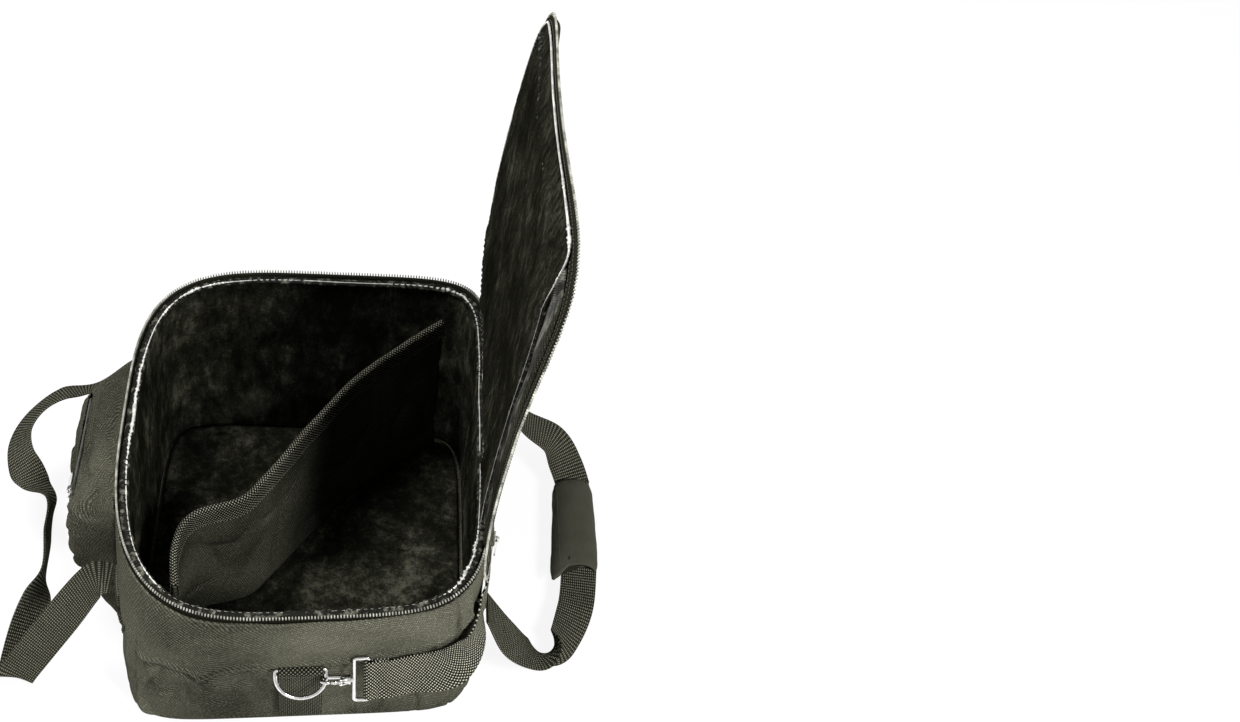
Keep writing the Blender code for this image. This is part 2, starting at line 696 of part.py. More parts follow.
def handle(side, shares, root_height):
    """A handle that turns about the line through its two sewn roots."""
    sign = SIDE_AXES[side][0]
    roots = [wall_frame(side, end * HANDLE_HALF_SPACING, root_height) for end in (-1, 1)]
    out = max(abs(root.translation.x) for root in roots) + PIVOT_OUT + WEBBING_THICKNESS
    turning = pivot(side + "_handle_axis", (sign * out, 0.0, root_height))
    places, turns = [], []
    for reach, along, up, *way in shares:
        height = root_height * (up - 1)
        places.append((sign * reach * HANDLE_REACH, along * HANDLE_HALF_SPACING, height))
        turns.append((way[0], way[1], way[2]))
    route = smooth_route(places, HANDLE_STEPS)
    ways = smooth_route(turns, HANDLE_STEPS)
    ribbon(side + "_handle", route, ways, WEBBING_WIDTH, WEBBING_THICKNESS, WEBBING, turning)
    for end, label in ((-1, "front"), (1, "rear")):
        middle = root_height - (ANCHOR_LENGTH + WEBBING_THICKNESS) / 2 - 2 * CLEARANCE
        frame = wall_frame(side, end * HANDLE_HALF_SPACING, middle)
        name = f"{side}_handle_anchor_{label}"
        slab(name, WEBBING_WIDTH, ANCHOR_LENGTH, WEBBING_THICKNESS, frame, WEBBING)
    return turning


handle("left", LEFT_HANDLE_SHARES, LEFT_ROOT_HEIGHT)
right_handle_axis = handle("right", RIGHT_HANDLE_SHARES, RIGHT_ROOT_HEIGHT)

# Comfort wrap: a soft oval sleeve closed round the right handle
GRIP_STATION = 7
WRAP_LENGTH = 0.105
WRAP_HALF_WIDTH = 0.0225
WRAP_HALF_HEIGHT = 0.017
WRAP_BORE_HALF_WIDTH = WEBBING_WIDTH / 2 + 0.0014
WRAP_BORE_HALF_HEIGHT = WEBBING_THICKNESS / 2 + 0.0035
WRAP_SIDES = 14


def oval(half_width, half_height, along):
    turn = np.linspace(0.0, 2 * math.pi, WRAP_SIDES, endpoint=False)
    centre_x, _, up, *_ = RIGHT_HANDLE_SHARES[GRIP_STATION]
    x, z = centre_x * HANDLE_REACH, RIGHT_ROOT_HEIGHT * (up - 1)
    return [Vector((x + half_width * math.cos(a), along, z + half_height * math.sin(a))) for a in turn]


def grip_wrap():
    middle = RIGHT_HANDLE_SHARES[GRIP_STATION][1] * HANDLE_HALF_SPACING
    front, rear = middle - WRAP_LENGTH / 2, middle + WRAP_LENGTH / 2
    sections = []
    for share, swell_share in ((0.0, 0.9), (0.12, 1.0), (0.5, 1.04), (0.88, 1.0), (1.0, 0.9)):
        along = mix(front, rear, share)
        sections.append(oval(WRAP_HALF_WIDTH * swell_share, WRAP_HALF_HEIGHT * swell_share, along))
    for along in (rear, front):
        sections.append(oval(WRAP_BORE_HALF_WIDTH, WRAP_BORE_HALF_HEIGHT, along))
    return loft("grip_wrap", sections, WRAP, cyclic=True, parent=right_handle_axis)


grip_wrap()


# Divider: a padded flap that stands in the bag and lifts out
DIVIDER_THICKNESS = 0.004
DIVIDER_CAP_HALF_WIDTH = 0.0045
DIVIDER_CAP_HALF_HEIGHT = 0.0035
# Across and along the mouth, then the height, as shares of the mouth's half width, rear reach and height
DIVIDER_SHARES = (
    (0.74, 0.82, 0.83),
    (0.5, 0.66, 0.8),
    (0.25, 0.46, 0.77),
    (0.0, 0.16, 0.74),
    (-0.22, -0.12, 0.71),
    (-0.34, -0.24, 0.69),
    (-0.6, -0.33, 0.67),
    (-0.69, -0.48, 0.63),
    (-0.66, -0.69, 0.6),
)
DIVIDER_STEPS = 2


def divider():
    lifting = pivot("divider_axis", (0.0, 0.0, 0.0))
    top = [(x * MOUTH_HALF_WIDTH, y * MOUTH_REAR_REACH, z * BAG_HEIGHT) for x, y, z in DIVIDER_SHARES]
    top = smooth_route(top, DIVIDER_STEPS)
    foot = FLOOR_TOP + CLEARANCE
    rows = [[Vector((x, y, mix(foot, z, share))) for x, y, z in top] for share in (0.0, 0.5, 1.0)]
    sheet("divider", rows, NYLON, DIVIDER_THICKNESS, parent=lifting)
    cap = []
    for k, centre in enumerate(top):
        along = top[min(k + 1, len(top) - 1)] - top[max(k - 1, 0)]
        across = np.array((-along[1], along[0], 0.0)) / math.hypot(along[0], along[1])
        middle = centre + across * DIVIDER_THICKNESS / 2
        middle[2] += DIVIDER_CAP_HALF_HEIGHT + 2 * CLEARANCE
        section = []
        for side, up in HEXAGON_SHARES:
            point = middle + across * DIVIDER_CAP_HALF_WIDTH * side
            point[2] += DIVIDER_CAP_HALF_HEIGHT * up
            section.append(Vector(point))
        cap.append(section)
    loft("divider_binding", cap, BINDING, parent=lifting)


divider()


# Rings and snap hooks: a tab, a D-ring, a swivel hook with a sprung gate, and an eye on the strap's end
WIRE_RADIUS = 0.002
RING_TAB_WIDTH = 0.044
RING_DROP = 0.119
RING_HEIGHT = BAG_HEIGHT - RING_DROP
RING_TAB_FOOT = 0.018
RING_CENTRE_X = 0.007
RING_FOLD_RADIUS = 0.0048
RING_BORE_RADIUS = WIRE_RADIUS + 2 * CLEARANCE
RING_HALF_WIDTH = RING_TAB_WIDTH / 2 + WIRE_RADIUS + 2 * CLEARANCE
RING_CORNER = WIRE_RADIUS
RING_SIDE = 0.008
RING_DEPTH = 0.030
RING_TILT_DEGREES = 40.0
EYE_TILT_DEGREES = 20.0
ROUND_SIDES = 12
CIRCUMSCRIBED = 1 / math.cos(math.pi / ROUND_SIDES)

HOOK_REACH = 0.0211
HOOK_DROP = 0.012
HOOK_HALF_HEIGHT = 0.006
HOOK_BOW_CENTRE = 0.020
HOOK_NOSE = 0.017
COLLAR_RADIUS = 0.005
COLLAR_BACK = 0.005
COLLAR_FRONT = 0.003
SWIVEL_PIN_RADIUS = 0.0016
SWIVEL_BORE_RADIUS = SWIVEL_PIN_RADIUS + CLEARANCE
SWIVEL_HEAD_RADIUS = 0.00255
SWIVEL_HEAD_LENGTH = 0.002
GATE_PIVOT_BACK = 0.007
GATE_PIN_RADIUS = 0.001
GATE_BOSS_RADIUS = 0.0021
GATE_HALF_THICKNESS = 0.0015
GATE_HALF_HEIGHT = 0.0013
EAR_THICKNESS = 0.0012
EAR_MIDDLE = GATE_HALF_THICKNESS + CLEARANCE + EAR_THICKNESS / 2

STRAP_WIDTH = 0.050
STRAP_THICKNESS = 0.0022
EYE_HALF_HEIGHT = STRAP_WIDTH / 2 + WIRE_RADIUS + 3 * CLEARANCE
EYE_LENGTH = 0.014
EYE_SHOULDER = COLLAR_FRONT + CLEARANCE
EYE_START = EYE_SHOULDER + 1.5 * WIRE_RADIUS
EYE_BAR = EYE_START + EYE_LENGTH


def turned(name, profile, finish, parent, frame):
    """A piece turned about its own X axis from (along, radius) points, given in order round the section."""
    build = bmesh.new()
    points = [build.verts.new((along, radius, 0.0)) for along, radius in profile]
    for a, b in zip(points, points[1:] + points[:1]):
        if profile[0][1] or (a, b) != (points[-1], points[0]):
            build.edges.new((a, b))
    made = added(name, mesh_of(build), finish, parent)
    screw = made.modifiers.new("turning", "SCREW")
    screw.axis = "X"
    screw.steps = ROUND_SIDES
    screw.render_steps = ROUND_SIDES
    screw.use_merge_vertices = True
    screw.merge_threshold = 10 * WELD_LENGTH
    screw.use_normal_calculate = True
    made.matrix_local = frame
    return meshed(made)


def circle(cx, cy, radius):
    return arc(cx, cy, radius, 0.0, 360.0, ROUND_SIDES + 1)[:-1]


def ring_points():
    """The D-ring's centre line: its bar on the X axis and its bow hanging along -Y."""
    inner = RING_HALF_WIDTH - RING_CORNER
    right = arc(inner, -RING_CORNER, RING_CORNER, 90.0, 0.0, 3)
    deep = RING_DEPTH - RING_SIDE
    bow = [(RING_HALF_WIDTH * x, deep * y - RING_SIDE) for x, y in arc(0, 0, 1, 0.0, -180.0, 13)]
    left = arc(-inner, -RING_CORNER, RING_CORNER, 180.0, 90.0, 3)
    return [(x, y, 0.0) for x, y in right + bow + left]


def ring_set(label, side, hand):
    """One end of the strap's hardware; hand is +1 where the strap leads off along the wall's level axis."""
    seat = wall_frame(side, RING_CENTRE_X, RING_HEIGHT, 2 * CLEARANCE)
    level, up, out = (seat.col[k].to_3d() for k in range(3))
    foot = RING_TAB_FOOT - RING_HEIGHT
    profile = [(0.0, foot), (0.0, 0.0)]
    profile += arc(RING_FOLD_RADIUS, 0.0, RING_FOLD_RADIUS, 180.0, -120.0, 15)[1:]
    profile += [(RING_FOLD_RADIUS / 2, foot)]
    hole = circle(RING_FOLD_RADIUS, 0.0, RING_BORE_RADIUS * CIRCUMSCRIBED)
    tab_frame = Matrix((out, up, -level)).transposed().to_4x4()
    tab_frame.translation = seat.translation
    flat_piece(label + "_ring_tab", [profile, hole], RING_TAB_WIDTH, tab_frame, WEBBING)

    ring_frame = seat @ Matrix.Translation((0.0, 0.0, RING_FOLD_RADIUS))
    ring_frame = ring_frame @ Matrix.Rotation(-math.radians(RING_TILT_DEGREES), 4, "X")
    ring_axis = pivot(label + "_ring_axis", (0.0, 0.0, 0.0))
    ring_axis.matrix_local = ring_frame
    rod(label + "_d_ring", ring_points(), WIRE_RADIUS, CHROME, 2, True, ring_axis)

    along = hand * level
    wire = hand * ring_frame.col[1].to_3d()
    grip = ring_frame @ Vector((hand * (RING_HALF_WIDTH + HOOK_REACH - CLEARANCE), -HOOK_DROP, 0.0))
    hook_axis = pivot(label + "_hook_axis", (0.0, 0.0, 0.0))
    hook_frame = Matrix((along, wire.cross(along), wire)).transposed().to_4x4()
    hook_frame.translation = grip
    hook_axis.matrix_local = hook_frame
    snap_hook(label, hook_axis)
    lean = Matrix.Rotation(-math.radians(EYE_TILT_DEGREES), 3, level)
    eye_frame = Matrix((along, lean @ -out, hand * (lean @ up))).transposed().to_4x4()
    eye_frame.translation = grip
    return swivel_eye(label, eye_frame)


def snap_hook(label, axis):
    still = Matrix.Identity(4)
    collar = [
        (-COLLAR_BACK, SWIVEL_BORE_RADIUS * CIRCUMSCRIBED),
        (COLLAR_FRONT, SWIVEL_BORE_RADIUS * CIRCUMSCRIBED),
        (COLLAR_FRONT, COLLAR_RADIUS),
        (-COLLAR_BACK, COLLAR_RADIUS),
    ]
    hook = turned(label + "_hook", collar, CHROME, axis, still)
    high = HOOK_HALF_HEIGHT
    route = [(-COLLAR_BACK / 2, 0.7 * high), (-1.1 * COLLAR_BACK, 0.9 * high), (-1.8 * COLLAR_BACK, high)]
    route += arc(-HOOK_BOW_CENTRE, 0.0, high, 90.0, 270.0, 9) + [(-HOOK_NOSE, -high)]
    bow = meshed(rod("hook_bow", [(x, y, 0.0) for x, y in route], WIRE_RADIUS, CHROME, 2, False, axis))
    pin_ends = [(-GATE_PIVOT_BACK, -high, end * (EAR_MIDDLE + EAR_THICKNESS / 4)) for end in (-1, 1)]
    pin = meshed(rod("gate_pin", pin_ends, GATE_PIN_RADIUS, CHROME, 2, False, axis))
    outline_points = arc(-GATE_PIVOT_BACK, -high, GATE_BOSS_RADIUS * 0.9, 110.0, 320.0, 8)
    outline_points += [(-0.2 * COLLAR_BACK, -0.88 * COLLAR_RADIUS), (-0.9 * COLLAR_BACK, -0.5 * COLLAR_RADIUS)]
    ears = []
    for end in (-1, 1):
        lifted = Matrix.Translation((0.0, 0.0, end * EAR_MIDDLE))
        ears.append(meshed(flat_piece("hook_ear", [outline_points], EAR_THICKNESS, lifted, CHROME, axis)))
    joined(hook, [bow, *ears, pin])

    gate_axis = pivot(label + "_gate_axis", (-GATE_PIVOT_BACK, -high, 0.0), parent=axis)
    boss = arc(0.0, 0.0, GATE_BOSS_RADIUS, -140.0, 140.0, 9)
    tip = GATE_PIVOT_BACK - HOOK_NOSE + CLEARANCE
    nub = mix(0.0, tip, 0.6)
    bar = [(tip, GATE_HALF_HEIGHT), (tip, -GATE_HALF_HEIGHT), (nub - 0.1 * HOOK_REACH, -GATE_HALF_HEIGHT)]
    bar += [(nub, -2 * GATE_HALF_HEIGHT), (nub + 0.1 * HOOK_REACH, -GATE_HALF_HEIGHT)]
    hole = circle(0.0, 0.0, (GATE_PIN_RADIUS + CLEARANCE) * CIRCUMSCRIBED)
    flat_piece(label + "_gate", [boss + bar, hole], 2 * GATE_HALF_THICKNESS, still, CHROME, gate_axis)


def swivel_eye(label, frame):
    """A headed pin with a rectangular loop that holds the strap; returns the frame of the loop's far bar."""
    head = -COLLAR_BACK - CLEARANCE
    profile = [
        (head - SWIVEL_HEAD_LENGTH, 0.0),
        (head - SWIVEL_HEAD_LENGTH, SWIVEL_HEAD_RADIUS),
        (head, SWIVEL_HEAD_RADIUS),
        (head, SWIVEL_PIN_RADIUS),
        (EYE_SHOULDER, SWIVEL_PIN_RADIUS),
        (EYE_SHOULDER, 1.7 * SWIVEL_PIN_RADIUS),
        (EYE_START, 1.7 * SWIVEL_PIN_RADIUS),
        (EYE_START, 0.0),
    ]
    eye = turned(label + "_hook_eye", profile, CHROME, None, frame)
    high, corner = EYE_HALF_HEIGHT, WIRE_RADIUS
    loop = []
    for cx, cz, start in (
        (EYE_BAR - corner, high - corner, 90.0),
        (EYE_BAR - corner, corner - high, 0.0),
        (EYE_START + corner, corner - high, -90.0),
        (EYE_START + corner, high - corner, -180.0),
    ):
        loop += [(x, 0.0, z) for x, z in arc(cx, cz, corner, start, start - 90.0, 3)]
    wire = rod("eye_loop", loop, WIRE_RADIUS, CHROME, 2, True)
    wire.matrix_local = frame
    joined(eye, [meshed(wire)])
    return frame @ Matrix.Translation((EYE_BAR, 0.0, 0.0))


front_bar = ring_set("front", "front", 1)
rear_bar = ring_set("rear", "rear", -1)

# Shoulder strap: from eye to eye round the right side, each end folded back round its bar
FOLD_RADIUS = WIRE_RADIUS + 2 * CLEARANCE + STRAP_THICKNESS / 2
# Along from the bar and out from the wall, as shares of the fold's radius
FOLD_SHARES = (
    (5.0, -0.42),
    (2.2, -0.46),
    (0.8, -0.9),
    (0.0, -1.0),
    (-0.71, -0.71),
    (-1.0, 0.0),
    (-0.71, 0.71),
    (0.0, 1.0),
    (0.8, 0.9),
    (2.2, 0.5),
    (5.0, 0.46),
)
STRAP_ANGLES = (283.0, 292.0, 302.0, 315.0, 330.0, 345.0, 0.0, 15.0, 30.0, 45.0, 58.0, 68.0, 77.0)
STRAP_HEIGHT_SHARES = (0.475, 0.49, 0.515, 0.57, 0.67, 0.695, 0.7, 0.695, 0.67, 0.57, 0.515, 0.49, 0.475)
# How far its middle stands off the wall, and how much less its upper edge does, as shares of its thickness
STRAP_OFFSET_SHARES = (5.8, 7.4, 8.0, 6.0, 2.2, 1.8, 1.6, 1.8, 2.2, 6.0, 8.0, 7.4, 5.8)
STRAP_LEAN_SHARES = (3.9, 5.0, 5.0, 2.6, 0.2, 0.0, 0.0, 0.0, 0.2, 2.6, 5.0, 5.0, 3.9)


def strap_end(bar):
    along, out, up = (bar.col[k].to_3d() for k in range(3))
    places = [bar.translation + FOLD_RADIUS * (a * along - o * out) for a, o in FOLD_SHARES]
    return [np.array(place) for place in places], np.array(up)


def shoulder_strap():
    start, start_side = strap_end(front_bar)
    finish, finish_side = strap_end(rear_bar)
    middle, sides = [], []
    stations = zip(STRAP_ANGLES, STRAP_HEIGHT_SHARES, STRAP_OFFSET_SHARES, STRAP_LEAN_SHARES)
    for angle, share, offset, lean in stations:
        height = share * BAG_HEIGHT
        here = np.array([angle])
        rim = rim_height(here)[0]
        point = ring_row(here, height / rim, -offset * STRAP_THICKNESS)[0]
        high = (height + STRAP_WIDTH / 2) / rim
        above = ring_row(here, high, (lean - offset) * STRAP_THICKNESS)[0]
        middle.append(np.array(point))
        sides.append(np.array(above - point))
    route = start + middle + finish[::-1]
    turns = [start_side] * len(start) + sides + [-finish_side] * len(finish)
    ribbon("shoulder_strap", route, turns, STRAP_WIDTH, STRAP_THICKNESS, WEBBING)


shoulder_strap()

# Zip sliders: a plate clasped round the chain by two flanges, with a bridge that holds the pull
SLIDER_HALF_WIDTH = 0.0047
SLIDER_HALF_LENGTH = 0.0065
SLIDER_PLATE = 0.0014
FLANGE_THICKNESS = 0.0015
BRIDGE_HALF_WIDTH = 0.0015
BRIDGE_HALF_LENGTH = 0.0038
BRIDGE_HOLE_HALF_LENGTH = 0.0015
BRIDGE_HOLE_HEIGHT = 0.0024
BRIDGE_RISE = 0.0041
PULL_LENGTH = 0.022
PULL_HALF_WIDTH = 0.0036
PULL_THICKNESS = 0.0014
PULL_SLOT_HALF_WIDTH = BRIDGE_HALF_WIDTH + 1.2 * CLEARANCE
PULL_SLOT_LENGTH = 0.0055
PULL_HEIGHT = CLEARANCE + BRIDGE_HOLE_HEIGHT / 2


def box(name, low, high, finish, parent, frame):
    build = bmesh.new()
    bmesh.ops.create_cube(build, size=1.0)
    size = [b - a for a, b in zip(low, high)]
    bmesh.ops.scale(build, vec=size, verts=build.verts)
    bmesh.ops.translate(build, vec=[(a + b) / 2 for a, b in zip(low, high)], verts=build.verts)
    made = added(name, mesh_of(build), finish, parent)
    made.matrix_local = frame
    return made


def zip_slider(label, chain_frame, chain_top, chain_foot):
    """A slider and its pull; the frame sits on the chain with Y along it, towards the slider's nose."""
    still = Matrix.Identity(4)
    axis = pivot(label + "_slider_axis", (0.0, 0.0, 0.0))
    axis.matrix_local = chain_frame
    base = chain_top + CLEARANCE
    wide, long = SLIDER_HALF_WIDTH, SLIDER_HALF_LENGTH
    top = base + SLIDER_PLATE
    slider = box(label + "_slider", (-wide, -long, base), (wide, long, top), CHROME, axis, still)
    helpers = []
    for side in (-1, 1):
        inner, outer = side * (wide - FLANGE_THICKNESS), side * wide
        low, high = min(inner, outer), max(inner, outer)
        corner = (high, long, base + SLIDER_PLATE / 2)
        helpers.append(box("flange", (low, -long, chain_foot), corner, CHROME, axis, still))
    half, rise = BRIDGE_HALF_LENGTH, BRIDGE_RISE
    arch = [(half, -SLIDER_PLATE / 2), (half, 0.6 * rise), (0.6 * half, rise)]
    arch = [(-x, y) for x, y in arch] + arch[::-1]
    eye_half, eye_top = BRIDGE_HOLE_HALF_LENGTH, CLEARANCE + BRIDGE_HOLE_HEIGHT
    hole = [(-eye_half, CLEARANCE), (eye_half, CLEARANCE), (eye_half, eye_top), (-eye_half, eye_top)]
    upright = Matrix(((0, 0, 1, 0), (1, 0, 0, 0), (0, 1, 0, top), (0, 0, 0, 1)))
    helpers.append(meshed(flat_piece("bridge", [arch, hole], 2 * BRIDGE_HALF_WIDTH, upright, CHROME, axis)))
    joined(slider, helpers)

    pull_axis = pivot(label + "_pull_axis", (0.0, 0.0, top + PULL_HEIGHT), parent=axis)
    bar, slot, deep = PULL_THICKNESS / 2, PULL_SLOT_HALF_WIDTH, PULL_SLOT_LENGTH
    side = -PULL_HALF_WIDTH
    plate = [(side, bar), (side, -0.8 * PULL_LENGTH), (side / 2, -PULL_LENGTH)]
    plate += [(-x, y) for x, y in plate[::-1]]
    slot_outline = [(-slot, -bar), (slot, -bar), (slot, -deep), (-slot, -deep)]
    flat_piece(label + "_pull", [plate, slot_outline], PULL_THICKNESS, still, CHROME, pull_axis)


# Zip tails: short stitched tabs below the hinge corners that carry the chain's two ends
TAIL_WIDTH = 0.022
TAIL_LENGTH = 0.044
TAIL_THICKNESS = 0.0014
TAIL_DROP = 0.0255
TAIL_HEIGHT = BAG_HEIGHT - TAIL_DROP
TAIL_FRONT_SETBACK = 0.100
TAIL_REAR_SETBACK = 0.075
TAIL_CHAIN_HALF_HEIGHT = 0.0016
SLIDER_PARK = 0.0125


def zip_tail(label, along):
    seat = wall_frame("right", along, TAIL_HEIGHT, 2.5 * CLEARANCE)
    tail = slab("zip_tail_" + label, TAIL_WIDTH, TAIL_LENGTH, TAIL_THICKNESS, seat, NYLON)
    half = TAIL_LENGTH / 2 - SLIDER_HALF_WIDTH / 2
    bead_top = TAIL_THICKNESS + TAIL_CHAIN_HALF_HEIGHT
    low = (-CHAIN_HALF_WIDTH, -half, TAIL_THICKNESS / 2)
    bead = box("tail_chain", low, (CHAIN_HALF_WIDTH, half, bead_top), CHAIN, None, seat)
    joined(tail, [bead])
    frame = seat @ Matrix.Translation((0.0, SLIDER_PARK, 0.0))
    zip_slider(label, frame, bead_top, TAIL_THICKNESS + CLEARANCE)


zip_tail("front", TAIL_FRONT_SETBACK - MOUTH_FRONT_REACH)
zip_tail("rear", MOUTH_REAR_REACH - TAIL_REAR_SETBACK)

# Pocket: a bulging zipped pouch on the left wall
POCKET_FRONT = -0.113
POCKET_REAR = 0.122
POCKET_DEPTH = 0.062
POCKET_FOOT = 0.022
POCKET_DROP = 0.040
POCKET_TOP = BAG_HEIGHT - POCKET_DROP
POCKET_END_SHARE = 0.28
POCKET_LEVELS = 12
POCKET_COLUMNS = 13
POCKET_ZIP_GAP = SLIDER_HALF_WIDTH + 2 * CLEARANCE
POCKET_CHAIN_HALF_HEIGHT = 0.0012
POCKET_ZIP_FRONT = -0.064
POCKET_ZIP_REAR = 0.082
POCKET_SLIDER_PARK = -0.051
POCKET_STAND = SHELL_THICKNESS / 2 + CLEARANCE
# Depth and height of the pocket's section, as shares, from its foot over the zip to its top seam
POCKET_SHARES = (
    (0.0, 0.0),
    (0.36, 0.05),
    (0.62, 0.24),
    (0.85, 0.44),
    (0.98, 0.62),
    (0.82, 0.79),
    (0.55, 0.88),
    (0.25, 0.95),
    (0.0, 1.0),
)
POCKET_ZIP_KNOT = 5
POCKET_STEPS = 4
POCKET_SIZE = np.array((POCKET_DEPTH, POCKET_TOP - POCKET_FOOT))
POCKET_CURVE = smooth_route(np.array(POCKET_SHARES) * POCKET_SIZE, POCKET_STEPS)
POCKET_PIECES = np.linalg.norm(np.diff(POCKET_CURVE, axis=0), axis=1)
POCKET_RUN = np.concatenate([[0.0], np.cumsum(POCKET_PIECES)])
POCKET_ZIP_RUN = POCKET_RUN[POCKET_ZIP_KNOT * POCKET_STEPS]


def pocket_place(run):
    return np.array([np.interp(run, POCKET_RUN, POCKET_CURVE[:, k]) for k in (0, 1)])


def pocket_slope(run):
    """Up the pocket's section and square out of it, at a length along it from the foot."""
    step = (pocket_place(run + POCKET_ZIP_GAP) - pocket_place(run - POCKET_ZIP_GAP)).tolist()
    long = math.hypot(*step)
    across, rise = step[0] / long, step[1] / long
    return Vector((-across, 0.0, rise)), Vector((-rise, 0.0, -across))


def pocket_row(run, front, rear, columns, stand=0.0):
    """A level row over the pocket, from its rear end to its front end, stood off its surface."""
    depth, rise = pocket_place(run)
    height = POCKET_FOOT + rise
    row = []
    for along in np.linspace(rear, front, columns):
        share = 2 * (along - POCKET_FRONT) / (POCKET_REAR - POCKET_FRONT) - 1
        swell = math.sin(min(1.0, (1.0 - abs(share)) / POCKET_END_SHARE) * math.pi / 2)
        wall = POCKET_STAND - wall_frame("left", along, height).translation.x
        reach = max(wall, mix(wall, MOUTH_HALF_WIDTH + depth, swell))
        row.append(Vector((-reach, along, height)) + pocket_slope(run)[1] * stand)
    return row


def pocket_sheet(name, start, end):
    runs = np.linspace(start, end, POCKET_LEVELS)
    rows = [pocket_row(run, POCKET_FRONT, POCKET_REAR, POCKET_COLUMNS) for run in runs]
    sheet(name, rows, NYLON, SHELL_THICKNESS, even=False)


def pocket_zip():
    """The tape lies behind the gap between pouch and cover, and the chain stands in the gap."""
    sunk = -(SHELL_THICKNESS + 5 * CLEARANCE)
    half = POCKET_ZIP_GAP + SLIDER_HALF_WIDTH
    runs = np.linspace(POCKET_ZIP_RUN - half, POCKET_ZIP_RUN + half, 7)
    rows = [pocket_row(run, POCKET_ZIP_FRONT, POCKET_ZIP_REAR, 7, sunk) for run in runs]
    sheet("pocket_zip_tape", rows, TAPE, TAPE_THICKNESS)
    lean, out = pocket_slope(POCKET_ZIP_RUN)
    middle = pocket_row(POCKET_ZIP_RUN, POCKET_ZIP_FRONT, POCKET_ZIP_REAR, 7)
    centre = sunk + CLEARANCE + POCKET_CHAIN_HALF_HEIGHT
    sections = []
    for point in middle:
        section = []
        for side, up in HEXAGON_SHARES:
            place = point + lean * CHAIN_HALF_WIDTH * side
            section.append(place + out * (centre + POCKET_CHAIN_HALF_HEIGHT * up))
        sections.append(section)
    loft("pocket_zip_chain", sections, CHAIN)
    park_share = (POCKET_ZIP_REAR - POCKET_SLIDER_PARK) / (POCKET_ZIP_REAR - POCKET_ZIP_FRONT)
    park = park_share * (len(middle) - 1)
    place = middle[int(park)].lerp(middle[int(park) + 1], park % 1)
    nose = Vector((0.0, -1.0, 0.0))
    frame = Matrix((nose.cross(out), nose, out)).transposed().to_4x4()
    frame.translation = place
    zip_slider("pocket", frame, centre + POCKET_CHAIN_HALF_HEIGHT, sunk + CLEARANCE)


pocket_sheet("pocket_shell", 0.0, POCKET_ZIP_RUN - POCKET_ZIP_GAP)
pocket_sheet("pocket_top", POCKET_ZIP_RUN + POCKET_ZIP_GAP, POCKET_RUN[-1])
pocket_zip()

# Strap adjuster: a three-bar slide threaded on the strap beside the right wall
ADJUSTER_HALF_LENGTH = 0.013
ADJUSTER_HALF_HEIGHT = 0.0295
ADJUSTER_HALF_THICKNESS = 0.0026
ADJUSTER_SLOT_HALF_THICKNESS = STRAP_THICKNESS / 2 + CLEARANCE
ADJUSTER_SLOT_HALF_HEIGHT = STRAP_WIDTH / 2 + 3 * CLEARANCE
ADJUSTER_BAR = 0.0035


def strap_adjuster():
    zero = STRAP_ANGLES.index(0.0)
    here = np.array([0.0])
    height = STRAP_HEIGHT_SHARES[zero] * BAG_HEIGHT
    rim = rim_height(here)[0]
    offset = STRAP_OFFSET_SHARES[zero] * STRAP_THICKNESS
    steps = (-STRAP_WIDTH / 2, 0.0, STRAP_WIDTH / 2)
    low, centre, high = (ring_row(here, (height + step) / rim, -offset)[0] for step in steps)
    up = (high - low).normalized()
    along = Vector((0.0, 1.0, 0.0))
    frame = Matrix((along, up, along.cross(up))).transposed().to_4x4()
    frame.translation = centre
    long, tall, thick = ADJUSTER_HALF_LENGTH, ADJUSTER_HALF_HEIGHT, ADJUSTER_HALF_THICKNESS
    body = box("strap_adjuster", (-long, -tall, -thick), (long, tall, thick), CHROME, None, frame)
    slot_tall, slot_thick = ADJUSTER_SLOT_HALF_HEIGHT, ADJUSTER_SLOT_HALF_THICKNESS
    corner = (2 * long, slot_tall, slot_thick)
    passage = box("passage", [-side for side in corner], corner, CHROME, None, frame)
    windows = []
    for side in (-1, 1):
        near, far = sorted((side * ADJUSTER_BAR / 2, side * (long - ADJUSTER_BAR)))
        windows.append(box("window", (near, -slot_tall, 0.0), (far, slot_tall, 2 * thick), CHROME, None, frame))
    inner = long - ADJUSTER_BAR
    back = box("back", (-inner, -slot_tall, -2 * thick), (inner, slot_tall, 0.0), CHROME, None, frame)
    joined(body, [passage, *windows, back], "DIFFERENCE")


strap_adjuster()
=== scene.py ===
import math

import bmesh
import bpy
import numpy as np
from mathutils import Matrix, Vector, noise
from mathutils.bvhtree import BVHTree


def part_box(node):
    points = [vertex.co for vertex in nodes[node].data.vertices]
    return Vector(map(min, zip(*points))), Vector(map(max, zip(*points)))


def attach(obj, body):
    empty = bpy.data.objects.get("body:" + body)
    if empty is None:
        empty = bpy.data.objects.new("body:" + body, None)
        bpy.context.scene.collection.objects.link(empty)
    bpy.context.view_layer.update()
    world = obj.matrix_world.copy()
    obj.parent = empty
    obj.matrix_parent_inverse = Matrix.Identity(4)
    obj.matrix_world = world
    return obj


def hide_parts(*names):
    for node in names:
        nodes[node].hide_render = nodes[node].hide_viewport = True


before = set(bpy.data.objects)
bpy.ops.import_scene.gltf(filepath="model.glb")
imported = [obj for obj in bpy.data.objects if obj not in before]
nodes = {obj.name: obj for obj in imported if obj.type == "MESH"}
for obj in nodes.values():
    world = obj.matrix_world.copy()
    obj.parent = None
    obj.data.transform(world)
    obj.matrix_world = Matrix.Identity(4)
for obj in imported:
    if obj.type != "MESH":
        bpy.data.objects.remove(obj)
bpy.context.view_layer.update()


# Outer walls: black woven nylon over foam, cut as four lower panels and a band, sewn round the bag.
# The cloth is one woven skin here, drawn in along its seams; the band's lower edge rolls over the panels.
BAG_HEIGHT = 0.245
BASE_REACH = (0.183, 0.202, 0.215)
MOUTH_REACH = (0.1875, 0.247, 0.225)
